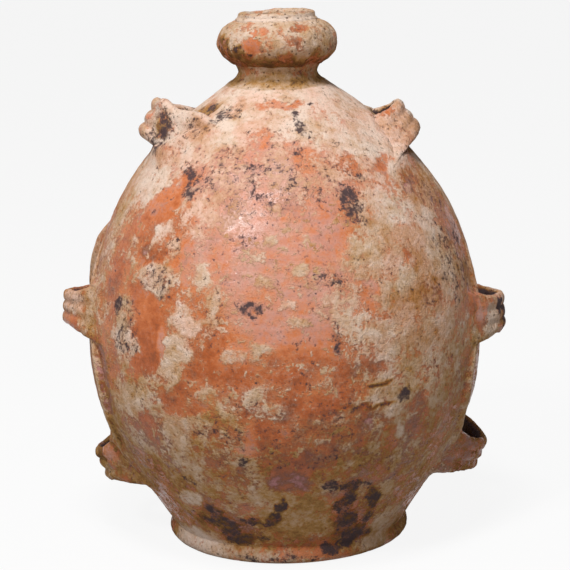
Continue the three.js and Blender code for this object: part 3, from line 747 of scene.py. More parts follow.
class Nodes:
    """Builds the nodes of a material or of the world."""

    def __init__(self, owner):
        owner.use_nodes = True
        self.owner = owner
        self.tree = owner.node_tree
        self.tree.nodes.clear()
        self.count = 0

    def node(self, kind, **settings):
        made = self.tree.nodes.new(kind)
        made.location = (220 * (self.count % 12), -260 * (self.count // 12))
        self.count += 1
        for key, value in settings.items():
            setattr(made, key, value)
        return made

    def feed(self, socket, value):
        if isinstance(value, bpy.types.NodeSocket):
            self.tree.links.new(value, socket)
        elif isinstance(value, (tuple, Color)) and len(socket.default_value) == 4:
            socket.default_value = (*value, 1)
        else:
            socket.default_value = value

    def fed(self, kind, inputs, **settings):
        """A new node with its inputs fed by name or place."""
        made = self.node(kind, **settings)
        for key, value in inputs.items():
            self.feed(made.inputs[key], value)
        return made

    def place(self, stretch=None):
        spot = self.node("ShaderNodeTexCoord").outputs["Object"]
        if stretch is None:
            return spot
        return self.fed("ShaderNodeMapping", {"Vector": spot, "Scale": stretch}).outputs["Vector"]

    def noise(self, place, size, detail=3.0, rough=0.55, warp=0.0):
        """Noise about 0, with its largest features this many millimetres across."""
        inputs = {"Vector": place, "Scale": 1 / MM / size, "Detail": detail}
        inputs |= {"Roughness": rough, "Distortion": warp}
        return self.sums("SUBTRACT", self.fed("ShaderNodeTexNoise", inputs).outputs["Fac"], 0.5)

    def pits(self, place, size):
        inputs = {"Vector": place, "Scale": 1 / MM / size}
        return self.fed("ShaderNodeTexVoronoi", inputs).outputs["Distance"]

    def sums(self, operation, *values):
        inputs = dict(enumerate(values))
        return self.fed("ShaderNodeMath", inputs, operation=operation).outputs[0]

    def plus(self, start, *shares):
        """The start and a share of each of the others."""
        for share, value in shares:
            start = self.sums("MULTIPLY_ADD", value, share, start)
        return start

    def step(self, value, low, high, bottom=0.0, top=1.0):
        inputs = {"Value": value, "From Min": low, "From Max": high}
        inputs |= {"To Min": bottom, "To Max": top}
        made = self.fed("ShaderNodeMapRange", inputs, interpolation_type="SMOOTHSTEP")
        return made.outputs["Result"]

    def mix(self, share, a, b, blend="MIX"):
        inputs = {0: share, 6: a, 7: b}
        return self.fed("ShaderNodeMix", inputs, data_type="RGBA", blend_type=blend).outputs[2]

    def blend(self, share, a, b):
        return self.fed("ShaderNodeMix", {0: share, 2: a, 3: b}, data_type="FLOAT").outputs[0]

    def ramp(self, value, stops):
        made = self.fed("ShaderNodeValToRGB", {"Fac": value})
        band = made.color_ramp.elements
        while len(band) < len(stops):
            band.new(0.5)
        for element, (at, colour) in zip(band, stops):
            element.position = at
            element.color = (*colour, 1)
        return made.outputs["Color"]

    def left(self, what):
        """What weathering left, from the mesh."""
        return self.node("ShaderNodeAttribute", attribute_name=what).outputs["Fac"]

    def background_rays(self):
        """1 for the rays that show the background: to the camera, in gloss and through glass."""
        rays = self.node("ShaderNodeLightPath").outputs
        shown = self.sums("MAXIMUM", rays["Is Camera Ray"], rays["Is Glossy Ray"])
        return self.sums("MAXIMUM", shown, rays["Is Transmission Ray"])

    def finish(self, kind, surface):
        self.fed(kind, {"Surface": surface.outputs[0]})
        return self.owner


def weathered_and_shaded_clay(name, finish, grain, pitted):
    """Glaze, dusty veil, crust and speckle laid over each other as the mesh's attributes say,
    painted shade included.
    """
    s = Nodes(bpy.data.materials.new(name))
    place = s.place()
    dust = s.noise(place, 1.0, 2, 0.6)
    fine = s.noise(place, 2.4, 4, 0.6, 0.3)
    grit = s.noise(place, 3.7, 3, 0.6, 0.2)
    small = s.noise(place, 6, 4, 0.6, 0.5)
    cloud = s.noise(place, 10, 3, 0.6, 0.3)
    middling = s.noise(place, 17, 4, 0.55, 0.4)
    broad = s.noise(place, 42, 3, 0.5)
    streak = s.noise(s.place((1, 1, 7)), 20, 3, 0.6)

    # Where the crust ends: chipped in some places, rubbed thin in others, with a veil of dust
    edge = s.plus(s.left("crust"), (1.25, fine), (1.15, small), (0.5, middling))
    chips = s.step(s.plus(small, (0.9, cloud), (0.5, fine)), 0.13, 0.22)
    edge = s.plus(edge, (0.4, chips))
    chipped = s.step(s.plus(edge, (0.4, dust)), 0.0, 0.14)
    rubbed = s.step(s.plus(edge, (0.3, dust)), -0.3, 0.42)
    thick = s.blend(s.step(s.plus(broad, (0.7, middling)), -0.09, 0.07), chipped, rubbed)
    veil = s.step(s.plus(edge, (0.8, dust)), -0.42, 0.26, 0.0, 0.55)
    cover = s.sums("MAXIMUM", thick, veil)

    # The glaze, with a dull film and burnt flecks
    hue = s.plus(s.left("hue"), (0.9, cloud), (0.5, broad), (0.5, grit))
    glaze = s.ramp(
        s.sums("MULTIPLY_ADD", s.plus(hue, (0.25, streak)), 0.8, 0.16),
        [
            (0.0, finish.purple_glaze),
            (0.14, finish.brown_glaze),
            (0.36, finish.deep_glaze),
            (0.56, finish.orange_glaze),
            (0.8, finish.pink_glaze),
            (1.0, finish.pale_glaze),
        ],
    )
    dull = s.step(s.plus(cloud, (-0.8, middling), (0.7, fine)), 0.03, 0.26, 0.0, 0.6)
    dull = s.sums("MULTIPLY", dull, s.step(hue, 0.12, 0.5))
    glaze = s.mix(dull, glaze, finish.dull_glaze)
    burnt = s.step(s.plus(grit, (-0.8, fine)), 0.1, 0.3, 0.0, 0.7)
    glaze = s.mix(burnt, glaze, finish.brown_glaze)

    # The crust, from cream to brown, rosy in places and thin at its edge
    stain = s.plus(s.left("stain"), (-0.35, small), (-0.25, fine), (0.5, grit))
    sand = s.ramp(
        s.plus(stain, (0.7, cloud), (0.4, broad)),
        [
            (0.0, finish.cream_crust),
            (0.3, finish.beige_crust),
            (0.58, finish.tan_crust),
            (0.82, finish.brown_crust),
            (1.0, finish.deep_crust),
        ],
    )
    rosy = s.step(s.plus(s.left("rosy"), (0.8, cloud), (0.6, fine)), 0.1, 0.8, 0.0, 0.9)
    sand = s.mix(rosy, sand, finish.rosy_tint, "MULTIPLY")
    sand = s.mix(s.step(edge, 0.05, 0.4, 0.4, 0.0), sand, glaze)
    earthy = s.step(s.plus(dust, (-0.5, fine)), 0.08, 0.26, 0.0, 0.5)
    sand = s.mix(earthy, sand, finish.brown_crust)

    # Pits in the crust, darkened as painted shade, and black growth over everything
    colour = s.mix(cover, glaze, sand)
    pits = s.plus(s.pits(place, 3.6), (0.5, fine), (0.3, cloud))
    pits = s.sums("MULTIPLY", s.step(pits, 0.1, 0.24, pitted, 0.0), thick)
    colour = s.mix(pits, colour, finish.deep_crust)
    shade = s.step(s.plus(s.left("dark"), (0.7, cloud)), 0.04, 0.5, 0.0, 0.65)
    colour = s.mix(shade, colour, finish.manganese)
    growth = s.plus(s.left("dark"), (-1.3, fine), (-0.8, small), (1.1, grit), (0.7, dust))
    black = s.step(growth, 0.02, 0.44, 0.0, 0.95)
    colour = s.mix(black, colour, finish.manganese)
    matt = s.sums("MAXIMUM", cover, black)

    grains = s.plus(s.sums("MULTIPLY", dust, 0.5), (1.5, fine))
    bare = s.sums("SUBTRACT", 1.0, cover)
    lift = s.plus(
        s.sums("MULTIPLY", thick, 0.2),
        (0.65 * grain, s.sums("MULTIPLY", grains, cover)),
        (0.4 * grain, s.sums("MULTIPLY", small, cover)),
        (0.2, s.sums("MULTIPLY", streak, bare)),
        (0.16, fine),
        (0.1, dust),
        (-0.7, pits),
    )
    bump = s.fed("ShaderNodeBump", {"Height": lift, "Distance": MM, "Strength": 0.9})
    shine = s.sums("MULTIPLY_ADD", small, 0.5, finish.glaze_roughness)
    inputs = {
        "Base Color": colour,
        "Roughness": s.blend(matt, shine, 0.88),
        "Specular IOR Level": s.blend(matt, 0.36, 0.08),
        "Normal": bump.outputs["Normal"],
        "IOR": 1.48,
    }
    return s.finish("ShaderNodeOutputMaterial", s.fed("ShaderNodeBsdfPrincipled", inputs))


def add_skin(name, points, faces, found, clay, slot, *nodes):
    """Makes a piece of one clay, hangs it under the root and hides the parts that it stands for.
    """
    piece = mesh_object(name, points, faces, found)
    finish = bpy.context.scene.flask_finish
    material = bpy.data.materials.get(clay) or weathered_and_shaded_clay(clay, finish, *CLAYS[clay])
    piece.data.materials.append(material)
    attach(piece, ROOT)
    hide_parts(*nodes)
    return piece


def remove_named(*names):
    """Takes away a piece that an earlier run of an operator made."""
    for name in names:
        old = bpy.data.objects.get(name)
        if old is not None:
            bpy.data.objects.remove(old)


def begin(context, *names):
    """Takes away older pieces of these names, and gives what the new ones are made with."""
    remove_named(*names)
    sizes = context.scene.flask_sizes
    return sizes, WeatheringAndShade(sizes, Wall(sizes))


def length_property(name, description, default):
    return FloatProperty(name=name, description=description, default=default, unit="LENGTH")


def colour_property(name, description, default):
    return FloatVectorProperty(
        name=name, description=description, default=default, subtype="COLOR"
    )


class FlaskSizes(bpy.types.PropertyGroup):
    """Sizes of the flask's skin."""

    base_level: length_property("Base Level", "Height of the top of the foot ring", BODY_LOW.z)
    belly_level: length_property("Belly Level", "Height of the widest part", BODY_HIGH.z)
    neck_level: length_property("Neck Level", "Height at which the neck starts", SHOULDER_HIGH.z)
    bulb_level: length_property("Bulb Level", "Height at which the mouth bulb starts", BULB_LOW.z)
    lip_level: length_property("Lip Level", "Height at which the lip starts", LIP_LOW.z)
    rim_level: length_property("Rim Level", "Height of the flask", LIP_HIGH.z)
    belly_radius: length_property("Belly Radius", "Radius of the widest part", BODY_HIGH.y)
    foot_radius: length_property("Foot Radius", "Outer radius of the foot ring", FOOT_HIGH.y)
    bulb_radius: length_property("Bulb Radius", "Radius of the mouth bulb", BULB_HIGH.y)
    lip_radius: length_property("Lip Radius", "Outer radius of the lip", LIP_HIGH.y)
    mesh_step: length_property("Mesh Step", "Distance between points of the body's skin", 2.1 * MM)
    seed: IntProperty(name="Seed", description="Seed of the weathering", default=11)


class FlaskFinish(bpy.types.PropertyGroup):
    """Colours and gloss of the flask's glaze, crust and speckle."""

    purple_glaze: colour_property("Purple Glaze", "Overfired glaze", (0.4, 0.15, 0.15))
    brown_glaze: colour_property("Brown Glaze", "Glaze low on the body", (0.19, 0.052, 0.016))
    deep_glaze: colour_property("Deep Orange Glaze", "Thick glaze", (0.42, 0.095, 0.018))
    orange_glaze: colour_property("Orange Glaze", "Glaze of middling depth", (0.58, 0.17, 0.052))
    pink_glaze: colour_property("Pink Glaze", "Thin worn glaze", (0.58, 0.26, 0.185))
    dull_glaze: colour_property("Dull Glaze", "Mauve film on the glaze", (0.4, 0.17, 0.12))
    pale_glaze: colour_property("Pale Glaze", "Glaze worn to its ground", (0.64, 0.38, 0.3))
    cream_crust: colour_property("Cream Crust", "Clean lime crust", (0.76, 0.59, 0.48))
    beige_crust: colour_property(
        "Beige Crust", "Crust with some earth in it", (0.61, 0.415, 0.275)
    )
    tan_crust: colour_property("Tan Crust", "Sandy crust", (0.44, 0.235, 0.08))
    brown_crust: colour_property("Brown Crust", "Earthy crust", (0.2, 0.095, 0.03))
    # Dark crust is also the colour of the painted shade in the crust's pits.
    deep_crust: colour_property("Dark Crust", "Crust stained by the ground", (0.1, 0.05, 0.023))
    rosy_tint: colour_property(
        "Rosy Tint", "Tint of the crust where clay shows through", (1.0, 0.82, 0.78)
    )
    manganese: colour_property("Dark Speckle", "Black mineral growth", (0.075, 0.05, 0.052))
    glaze_roughness: FloatProperty(
        name="Glaze Roughness",
        description="Roughness of the bare glaze",
        default=0.28,
        subtype="FACTOR",
    )


class FLASK_OT_body(bpy.types.Operator):
    """Builds the thrown body from its base to the neck"""

    bl_idname = "flask.body"
    bl_label = "Body"

    def execute(self, context):
        sizes, weather = begin(context, "body_skin")
        wall = weather.wall
        step = sizes.mesh_step / MM
        base, neck = sizes.base_level / MM, sizes.neck_level / MM
        outside = evenly(wall.outline, step)
        profile = [(0, base), *((r, base) for r in UNDERSIDE_RADII), *outside]
        profile += [(MOUTH_RADIUS + NECK_LAND, neck), (MOUTH_RADIUS, neck - 1), *wall.inside()]
        profile += [(r, base + FLOOR_THICKNESS) for r in (INSIDE_FLOOR_RADIUS, 0)]
        columns = 2 * round(math.pi * wall.outline[:, 0].max() / step)
        points, faces = turned(profile, columns)
        first = 1 + len(UNDERSIDE_RADII) * columns
        skin = slice(first, first + len(outside) * columns)
        outer = points[skin]
        found = weather.fields(points)
        clay, strap_shade = smeared_clay_and_shade(wall, outer)
        # Painted shade on the wall under the straps.
        for what, amount in STRAP_SHADE_MARKS.items():
            found[what][skin] += amount * strap_shade
        rest = np.ones(len(points), bool)
        rest[skin] = False
        for what, level in INSIDE_MARKS.items():
            found[what][rest] = level
        relief = weather.relief(outer, {what: values[skin] for what, values in found.items()})
        lift = weather.sway(outer) + relief + clay
        points[skin] = outer + wall.normals(outer) * lift[:, None]
        nodes = ("lower_body", "upper_body")
        add_skin("body_skin", points, faces, found, "body_clay", "red_glaze", *nodes)
        return {"FINISHED"}


class FLASK_OT_foot(bpy.types.Operator):
    """Builds the foot ring"""

    bl_idname = "flask.foot"
    bl_label = "Foot Ring"

    def execute(self, context):
        sizes, weather = begin(context, "foot_skin")
        radius, base = sizes.foot_radius / MM, sizes.base_level / MM
        outside = steps_from(radius, 0, FOOT_SIDE) + steps_from(radius, base, FOOT_TOP)
        profile = [*evenly(outside, FOOT_STEP), *steps_from(radius, base, FOOT_INSIDE)]
        points, faces = turned(profile, FOOT_COLUMNS)
        found = weather.fields(points, stain=0.45, hue=0.3)
        sides = smooth_step(points[:, 2], *FOOT_SEAT)
        lift = (weather.sway(points) * FOOT_SWAY + weather.relief(points, found)) * sides
        lift *= rounds(points) > radius - FOOT_BEARING
        points = lifted(points, faces, lift)
        add_skin("foot_skin", points, faces, found, "foot_clay", "crusted_clay", "foot_ring")
        return {"FINISHED"}


class FLASK_OT_mouth(bpy.types.Operator):
    """Builds the neck, the mouth bulb and the lip"""

    bl_idname = "flask.mouth"
    bl_label = "Neck and Mouth"

    def execute(self, context):
        sizes, weather = begin(context, "neck_skin", "mouth_bulb_skin", "lip_skin")
        neck, bulb = sizes.neck_level / MM, sizes.bulb_level / MM
        lip, rim = sizes.lip_level / MM, sizes.rim_level / MM
        bulb_radius, lip_radius = sizes.bulb_radius / MM, sizes.lip_radius / MM
        bore = MOUTH_RADIUS

        joint = np.array([NECK_JOINT_RADIUS, neck])
        waist = np.array([NECK_WAIST_RADIUS, neck + NECK_WAIST_HEIGHT])
        turn, bend = along(180 - SHOULDER_ANGLE, NECK_CURVE_REACH), (0, NECK_CURVE_REACH)
        outside = [
            *steps_from(*joint, NECK_ROOT),
            *curve_points(NECK_CURVE_STEPS, joint, joint + turn, waist - bend, waist),
            (NECK_WAIST_RADIUS + 1.2, bulb - 2.5),
            (BULB_JOINT_RADIUS, bulb + 1.5),
        ]
        profile = [*evenly(outside, MOUTH_STEP), (bore, bulb + 1), (bore, neck - 4)]
        points, faces = turned(profile, NECK_COLUMNS)
        # The neck's dark stain is partly earth and partly painted shadow of the bulb, ending at
        # the shoulder; its rosy tint is taken out to match.
        found = self.fields(weather, points, NECK_SHADOW_BAND, stain=0.74, crust=0.85)
        found["rosy"] -= NECK_SHADOW_PALING
        self.piece(weather, "neck_skin", "neck", points, faces, found, rough=1.6)

        low = np.array([BULB_JOINT_RADIUS, bulb])
        wide = np.array([bulb_radius, bulb + BULB_WIDEST_HEIGHT])
        top = np.array([BULB_TOP_RADIUS, lip])
        below, above = BULB_WIDEST_HEIGHT / 2, (lip - bulb - BULB_WIDEST_HEIGHT) / 2
        rise, fall = along(BULB_LOW_ANGLE, below), along(BULB_TOP_ANGLE, above)
        outside = [
            *steps_from(*low, BULB_ROOT),
            *curve_points(BULB_CURVE_STEPS, low, low + rise, wide - (0, below), wide),
            *curve_points(BULB_CURVE_STEPS, wide, wide + (0, above), top + fall, top)[1:],
            *steps_from(*top, BULB_END),
        ]
        hollow = [(bore, lip), *steps_from(bulb_radius, bulb, BULB_HOLLOW), (bore, bulb)]
        points, faces = turned([*evenly(outside, MOUTH_STEP), *hollow], BULB_COLUMNS)
        # Painted shade darkens the bulb's underside.
        found = self.fields(weather, points, BULB_UNDERSIDE_SHADE, stain=0.3, crust=0.42)
        self.piece(weather, "mouth_bulb_skin", "mouth_bulb", points, faces, found, rough=2.2)

        outside = [
            *steps_from(BULB_TOP_RADIUS, lip, LIP_ROOT),
            *steps_from(lip_radius, lip, LIP_SIDE),
            *steps_from(lip_radius, rim, LIP_EDGE),
            *steps_from(bore, rim, LIP_BORE),
        ]
        points, faces = turned([*evenly(outside, LIP_STEP), (bore, lip - 2)], LIP_COLUMNS)
        found = self.fields(weather, points, stain=0.12, crust=0.55)
        worn = smooth_step(points[:, 2], *WORN_LEVELS) * smooth_step(rounds(points), *WORN_BAND)
        for what, change in WORN_MARKS.items():
            found[what] += change * worn
        piece = self.piece(weather, "lip_skin", "lip_ring", points, faces, found, rough=1.3)
        self.settle(piece, lip, rim)
        return {"FINISHED"}

    def fields(self, weather, points, *bands, **start):
        """What is on the surface, with bands of stain and painted shade and a bore painted darker
        downwards, as shade.
        """
        found = weather.fields(points, walled=False, hue=0.45, rosy=0.1, **start)
        for change, *levels in bands:
            found["stain"] += change * smooth_step(points[:, 2], *levels)
        # Painted shade: the bore gets darker the deeper it goes.
        lining = rounds(points) <= MOUTH_RADIUS + MOUTH_LINING
        found["stain"][lining] = 1.1 - 0.9 * smooth_step(points[lining, 2], *LINING_LEVELS)
        return found

    def piece(self, weather, name, node, points, faces, found, rough):
        lift = weather.sway(points) * MOUTH_SWAY + weather.relief(points, found, rough)
        lift += rough * weather.noise.waves("mouth_lumps", points)
        lift *= rounds(points) > MOUTH_RADIUS + MOUTH_LINING
        points = lifted(points, faces, lift)
        return add_skin(name, points, faces, found, "mouth_clay", "crusted_clay", node)

    def settle(self, piece, lip, rim):
        """Lets the rim dip towards the left and waver a little."""
        points = np.array([v.co for v in piece.data.vertices]) / MM
        turn = np.arctan2(points[:, 1], points[:, 0])
        dip = RIM_DIP + RIM_LEAN * np.cos(turn - math.radians(RIM_LOW_TURN))
        dip += RIM_WAVER * np.sin(3 * turn + 1.0)
        points[:, 2] -= smooth_step(points[:, 2], lip, rim) * np.clip(dip, 0, None)
        piece.data.vertices.foreach_set("co", (points * MM).astype(np.float32).ravel())
        piece.data.update()


def strap_section(width, thick, groove):
    """The strap's section: rounded ribs outside, a softly rounded inner face."""
    across = np.linspace(-0.5, 0.5, RIBS * RIB_POINTS + 1)
    hump = np.abs(np.sin(math.pi * RIBS * (across + 0.5))) ** RIB_POWER
    edge = 1 - EDGE_THINNING * np.abs(2 * across) ** EDGE_POWER
    outer = np.stack([across * width, (thick / 2) * edge - groove * (1 - hump)], 1)
    back = np.linspace(0.5, -0.5, INNER_POINTS + 2)[1:-1]
    face = 1 - INNER_ROUNDING * np.abs(2 * back) ** INNER_POWER
    inner = np.stack([back * width, -thick / 2 * face], 1)
    side = np.array([[width / 2 + SIDE_OVERHANG, 0.0]])
    return np.concatenate([outer, side, inner, -side])


def strap_rings(wall, strap, steps):
    """Rings along a strap from its front root over to its back one, and the middle of each."""
    radius = float(wall.radius(strap.height))
    tilt = math.radians(strap.tilt)
    start = np.array([strap.side * radius, 0, strap.height])
    outward = np.array([strap.side * math.cos(tilt), 0, math.sin(tilt)])
    upward = np.array([-strap.side * math.sin(tilt), 0, math.cos(tilt)])
    rise = strap.reach - strap.thickness / 2
    drop = radius - math.sqrt(radius**2 - strap.spread**2)
    fall = (rise + drop) / (math.hypot(1, strap.crown) - strap.crown)
    rings, middles = [], []
    for share in np.linspace(-STRAP_END, STRAP_END, steps):
        root = float(smooth_step(abs(share), *STRAP_ROOT))
        bend = math.hypot(share, strap.crown)
        groove = strap.groove * (1 - ROOT_GROOVE_FADE * root)
        section = strap_section(strap.width, strap.thickness, groove)
        section[INNER_FIRST:INNER_LAST, 1] *= 1 + ROOT_SWELL * root
        span = strap.spread - strap.splay * section[:, 0] / (strap.width / 2)
        slope = -fall * share / bend / span
        facing = outward + np.stack([0 * slope, -slope, 0 * slope], 1)
        facing /= np.linalg.norm(facing, axis=1)[:, None]
        flare = np.where(section[:, 0] > 0, strap.flare_up, strap.flare_down)
        flare = flare * root * (1 if share < 0 else BACK_FLARE)
        back = float(smooth_step(share, 0, STRAP_ROOT[1]))
        shift = strap.back_rise * back - strap.slant * share
        middle = start + outward * (rise - fall * (bend - strap.crown))
        place = middle + upward * (section[:, :1] * (1 + flare[:, None]) + shift)
        place[:, 1] += share * span
        rings.append((place + facing * section[:, 1:])[:: strap.side])
        middle = middle + upward * shift
        middle[1] += share * strap.spread
        middles.append(np.tile(middle, (len(section), 1)))
    return rings, np.concatenate(middles)


def inner_face(strap, rings):
    """Which points of the rings lie on the strap's inner face."""
    place = np.arange(len(rings[0]))[:: strap.side]
    return np.tile((place >= INNER_FIRST) & (place <= INNER_LAST), len(rings))


def smeared_clay_and_shade(wall, points):
    """How much clay was smeared round the straps' roots at each point, and how much painted shade
    it gets under the straps.
    """
    lift, strap_shade = np.zeros(len(points)), np.zeros(len(points))
    for strap in STRAPS.values():
        front, behind, under = strap.smear
        rings, _ = strap_rings(wall, strap, SMEAR_RINGS)
        spots, inner = np.concatenate(rings), inner_face(strap, rings)
        reach = np.where(inner, under, np.where(spots[:, 1] < 0, front, behind))
        tall = [np.clip(wall.above(ring), 0, SMEAR_TALLEST).max() for ring in rings]
        tall = np.repeat(tall, len(rings[0]))
        tall[inner] *= UNDER_SHARE
        tree = KDTree(len(spots))
        for k, spot in enumerate(spots):
            tree.insert(spot, k)
        tree.balance()
        near = np.linalg.norm(points - spots.mean(0), axis=1) < SMEAR_RANGE
        for k in np.flatnonzero(near):
            _, which, away = tree.find(points[k])
            # Nearness to a strap's inner face sets the painted shade.
            if inner[which]:
                strap_shade[k] = max(strap_shade[k], 1 - away / STRAP_SHADE_RANGE)
            if away < reach[which]:
                rise = SMEAR_SHARE * tall[which] * (1 - away / reach[which]) ** 2
                lift[k] = max(lift[k], rise)
    return lift, smooth_step(strap_shade, 0.0, STRAP_SHADE_FULL)


class FLASK_OT_lugs(bpy.types.Operator):
    """Builds the six pulled strap lugs, with their roots smeared onto the wall"""

    bl_idname = "flask.lugs"
    bl_label = "Strap Lugs"

    def execute(self, context):
        sizes, weather = begin(context, *(name + "_skin" for name in STRAPS))
        for name, strap in STRAPS.items():
            rings, middles = strap_rings(weather.wall, strap, STRAP_RINGS)
            points, faces = lofted(rings)
            points = self.spread(weather.wall, points, middles)
            found = weather.fields(points, crust=0.25, stain=0.4, hue=0.3)
            # Painted shade on the strap's inner face.
            for what, amount in INNER_FACE_SHADE_MARKS.items():
                found[what][inner_face(strap, rings)] += amount
            lumps = weather.noise.waves("lug_lumps", points)
            lumps += weather.relief(points, found, LUG_ROUGHNESS)
            points = lifted(points, faces, lumps)
            for *place, radius, height in LUMPS:
                away = np.linalg.norm(points - place, axis=1)
                points[:, 2] += height * smooth_step(away, radius, 0)
            points = weather.swayed(points)
            add_skin(name + "_skin", points, faces, found, "lug_clay", "lug_glaze", name)
        return {"FINISHED"}

    def spread(self, wall, points, middles):
        """Spreads the foot of a strap over the wall, the more the nearer it is to it."""
        above = np.clip(wall.above(points), 0, None)
        normals = wall.normals(points)
        aside = points - middles
        aside -= normals * np.einsum("ij,ij->i", aside, normals)[:, None]
        aside /= np.linalg.norm(aside, axis=1)[:, None] + 1e-6
        return points + aside * (FOOT_SPREAD * np.exp(-above / FOOT_SPREAD_HEIGHT))[:, None]


class FLASK_OT_ridges(bpy.types.Operator):
    """Builds the low ridges beside the strap's path"""

    bl_idname = "flask.ridges"
    bl_label = "Ridges"

    def execute(self, context):
        for side_name, side in (("right", 1), ("left", -1)):
            middle, lower = (STRAPS[f"lug_{level}_{side_name}"] for level in ("middle", "lower"))
            for face_name, front in (("front", 1), ("back", -1)):
                place = f"{side_name}_{face_name}"
                upper_path = self.upper_path(middle, RIDGE_PROUD[place])
                self.ridge(context, "ridge_upper_" + place, side, front, upper_path)
                lower_path = self.lower_path(lower, middle)
                self.ridge(context, "ridge_lower_" + place, side, front, lower_path)
        return {"FINISHED"}

    def ridge(self, context, name, side, front, path):
        sizes, weather = begin(context, name + "_skin")
        points, faces = lofted(self.rings(weather.wall, side, front, *path))
        found = weather.fields(points, crust=0.2, stain=0.45, hue=0.3)
        # The crest is paler: crust, partly a painted highlight.
        crest = np.exp(-((RIDGE_LANE / RIDGE_CREST) ** 2))
        crest = np.concatenate([crest, np.zeros(len(RIDGE_UNDER))])[:: -side * front]
        crest = np.tile(crest, len(points) // len(crest))
        found["crust"] += CREST_CRUST_AND_HIGHLIGHT * crest
        found["stain"] += (CREST_STAIN - found["stain"]) * CREST_SHARE * crest
        lumps = weather.noise.waves("ridge_lumps", points) + weather.relief(points, found)
        points = weather.swayed(lifted(points, faces, lumps))
        add_skin(name + "_skin", points, faces, found, "lug_clay", "lug_glaze", name)

    def upper_path(self, middle, proud, length=48, inset=12, lean=16):
        """Heights along an upper ridge, how far before the lugs it runs and how proud it is."""
        share = np.linspace(*UPPER_RUN)
        z = middle.height + middle.width / 2 + length * share
        forward = middle.spread - inset - lean * share
        fade = HIGH_FADE if proud > HIGH_RIDGE else LOW_FADE
        height = proud * (1 - fade * np.clip(share, 0, 1) ** 2)
        return z, forward, height * smooth_step(share, *UPPER_END)

    def lower_path(self, lower, middle, offset=3, bow=12, proud=4.5):
        """The same for a lower ridge, which runs from the lower lug up to the middle one."""
        share = np.linspace(*LOWER_RUN)
        bottom, top = lower.height + lower.width / 2, middle.height - middle.width / 2
        z = bottom * (1 - share) + top * share
        root = lower.spread * (1 - share) + middle.spread * share
        forward = root + offset + bow * np.sin(math.pi * np.clip(share, 0, 1))
        return z, forward, np.full_like(share, proud)

    def rings(self, wall, side, front, z, forward, height):
        rings = []
        bell = np.exp(-((RIDGE_LANE / RIDGE_BELL) ** 2))
        for level, ahead, tall in zip(z, forward, height):
            radius = float(wall.radius(level))
            turn = math.asin(ahead / radius)
            radial = np.array([side * math.cos(turn), front * -math.sin(turn), 0])
            across = np.array([-side * math.sin(turn), front * -math.cos(turn), 0])
            face = np.sqrt(radius**2 - RIDGE_LANE**2)
            top = face + tall * bell - RIDGE_SINK
            section = [*zip(top, RIDGE_LANE)]
            section += [(face[k] - RIDGE_DEPTH, RIDGE_LANE[k]) for k in RIDGE_UNDER]
            ring = np.array([radial * t + across * w + (0, 0, level) for t, w in section])
            rings.append(ring[:: -side * front])
        return rings


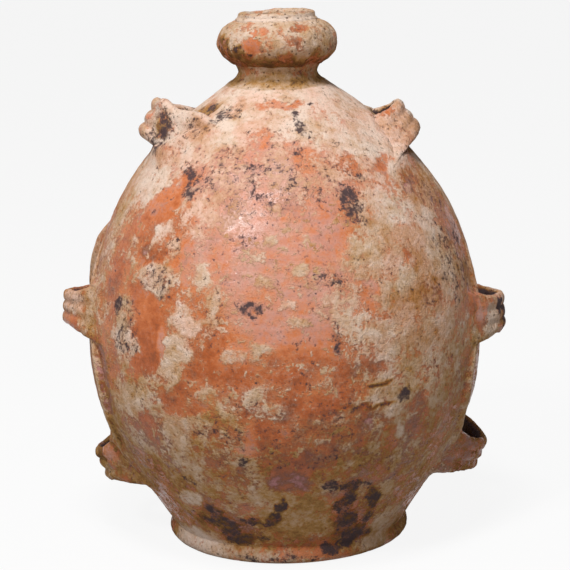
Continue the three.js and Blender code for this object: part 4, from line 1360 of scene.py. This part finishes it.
class FLASK_OT_stage(bpy.types.Operator):
    """Sets up a pale floor, soft light and the camera"""

    bl_idname = "flask.stage"
    bl_label = "Stage"

    def execute(self, context):
        scene = context.scene
        remove_named("floor", *LAMPS, "camera")
        self.floor()
        for name, lamp in LAMPS.items():
            self.light(name, *lamp)
        scene.world = self.world()
        scene.camera = self.camera()
        scene.view_settings.view_transform = "Standard"
        return {"FINISHED"}

    def floor(self):
        corners = [(-1, -1, 0), (1, -1, 0), (1, 1, 0), (-1, 1, 0)]
        floor = mesh_object("floor", np.array(corners) * FLOOR_REACH / MM, [(0, 1, 2, 3)])
        s = Nodes(bpy.data.materials.new("floor_paper"))
        plain = s.fed("ShaderNodeBsdfDiffuse", {"Color": (FLOOR_GREY,) * 3})
        white = {"Color": (1, 1, 1), "Strength": BACKGROUND_STRENGTH}
        inputs = {
            0: s.sums("MULTIPLY", s.background_rays(), BACKGROUND_SHARE),
            1: plain.outputs[0],
            2: s.fed("ShaderNodeEmission", white).outputs[0],
        }
        paper = s.finish("ShaderNodeOutputMaterial", s.fed("ShaderNodeMixShader", inputs))
        floor.data.materials.append(paper)

    def light(self, name, place, target, size, power):
        lamp = bpy.data.lights.new(name, "AREA")
        lamp.shape = "DISK"
        lamp.size = size
        lamp.energy = power
        holder = bpy.data.objects.new(name, lamp)
        holder.location = place
        towards = Vector(target) - Vector(place)
        holder.rotation_euler = towards.to_track_quat("-Z", "Y").to_euler()
        bpy.context.scene.collection.objects.link(holder)

    def world(self):
        """A plain room, white where the background shows and dim as a light."""
        s = Nodes(bpy.data.worlds.new("pale_room"))
        strength = s.step(s.background_rays(), 0, 1, ROOM_LIGHT, 1.0)
        light = s.fed("ShaderNodeBackground", {"Color": (1, 1, 1), "Strength": strength})
        return s.finish("ShaderNodeOutputWorld", light)

    def camera(self):
        """The photograph's view: how far off, how high, tilted down and rolled a little."""
        lens = bpy.data.cameras.new("camera")
        lens.sensor_width = SENSOR_WIDTH
        lens.lens = FOCAL_LENGTH
        lens.shift_x = AXIS_SHIFT / PICTURE_WIDTH
        eye = bpy.data.objects.new("camera", lens)
        tilt = Matrix.Rotation(math.radians(90 - EYE_DOWN), 4, "X")
        roll = Matrix.Rotation(math.radians(-EYE_ROLL), 4, "Z")
        eye.matrix_world = Matrix.Translation(EYE_PLACE) @ tilt @ roll
        bpy.context.scene.collection.objects.link(eye)
        return eye


class FLASK_PT_sidebar(bpy.types.Panel):
    """Lists the flask's pieces, sizes and colours"""

    bl_idname = "FLASK_PT_sidebar"
    bl_label = "Flask"
    bl_space_type = "VIEW_3D"
    bl_region_type = "UI"
    bl_category = "Flask"

    def draw(self, context):
        column = self.layout.column()
        for operator in OPERATORS:
            column.operator(operator.bl_idname)
        for group in (context.scene.flask_sizes, context.scene.flask_finish):
            column.separator()
            for name in group.__annotations__:
                column.prop(group, name)


OPERATORS = (
    FLASK_OT_body,
    FLASK_OT_foot,
    FLASK_OT_mouth,
    FLASK_OT_lugs,
    FLASK_OT_ridges,
    FLASK_OT_stage,
)
CLASSES = (FlaskSizes, FlaskFinish, *OPERATORS, FLASK_PT_sidebar)


def register():
    for cls in CLASSES:
        bpy.utils.register_class(cls)
    bpy.types.Scene.flask_sizes = PointerProperty(type=FlaskSizes)
    bpy.types.Scene.flask_finish = PointerProperty(type=FlaskFinish)


def unregister():
    del bpy.types.Scene.flask_finish
    del bpy.types.Scene.flask_sizes
    for cls in reversed(CLASSES):
        bpy.utils.unregister_class(cls)


def main():
    register()
    bpy.ops.flask.body()
    bpy.ops.flask.foot()
    bpy.ops.flask.mouth()
    bpy.ops.flask.lugs()
    bpy.ops.flask.ridges()
    bpy.ops.flask.stage()


if __name__ == "__main__":
    main()
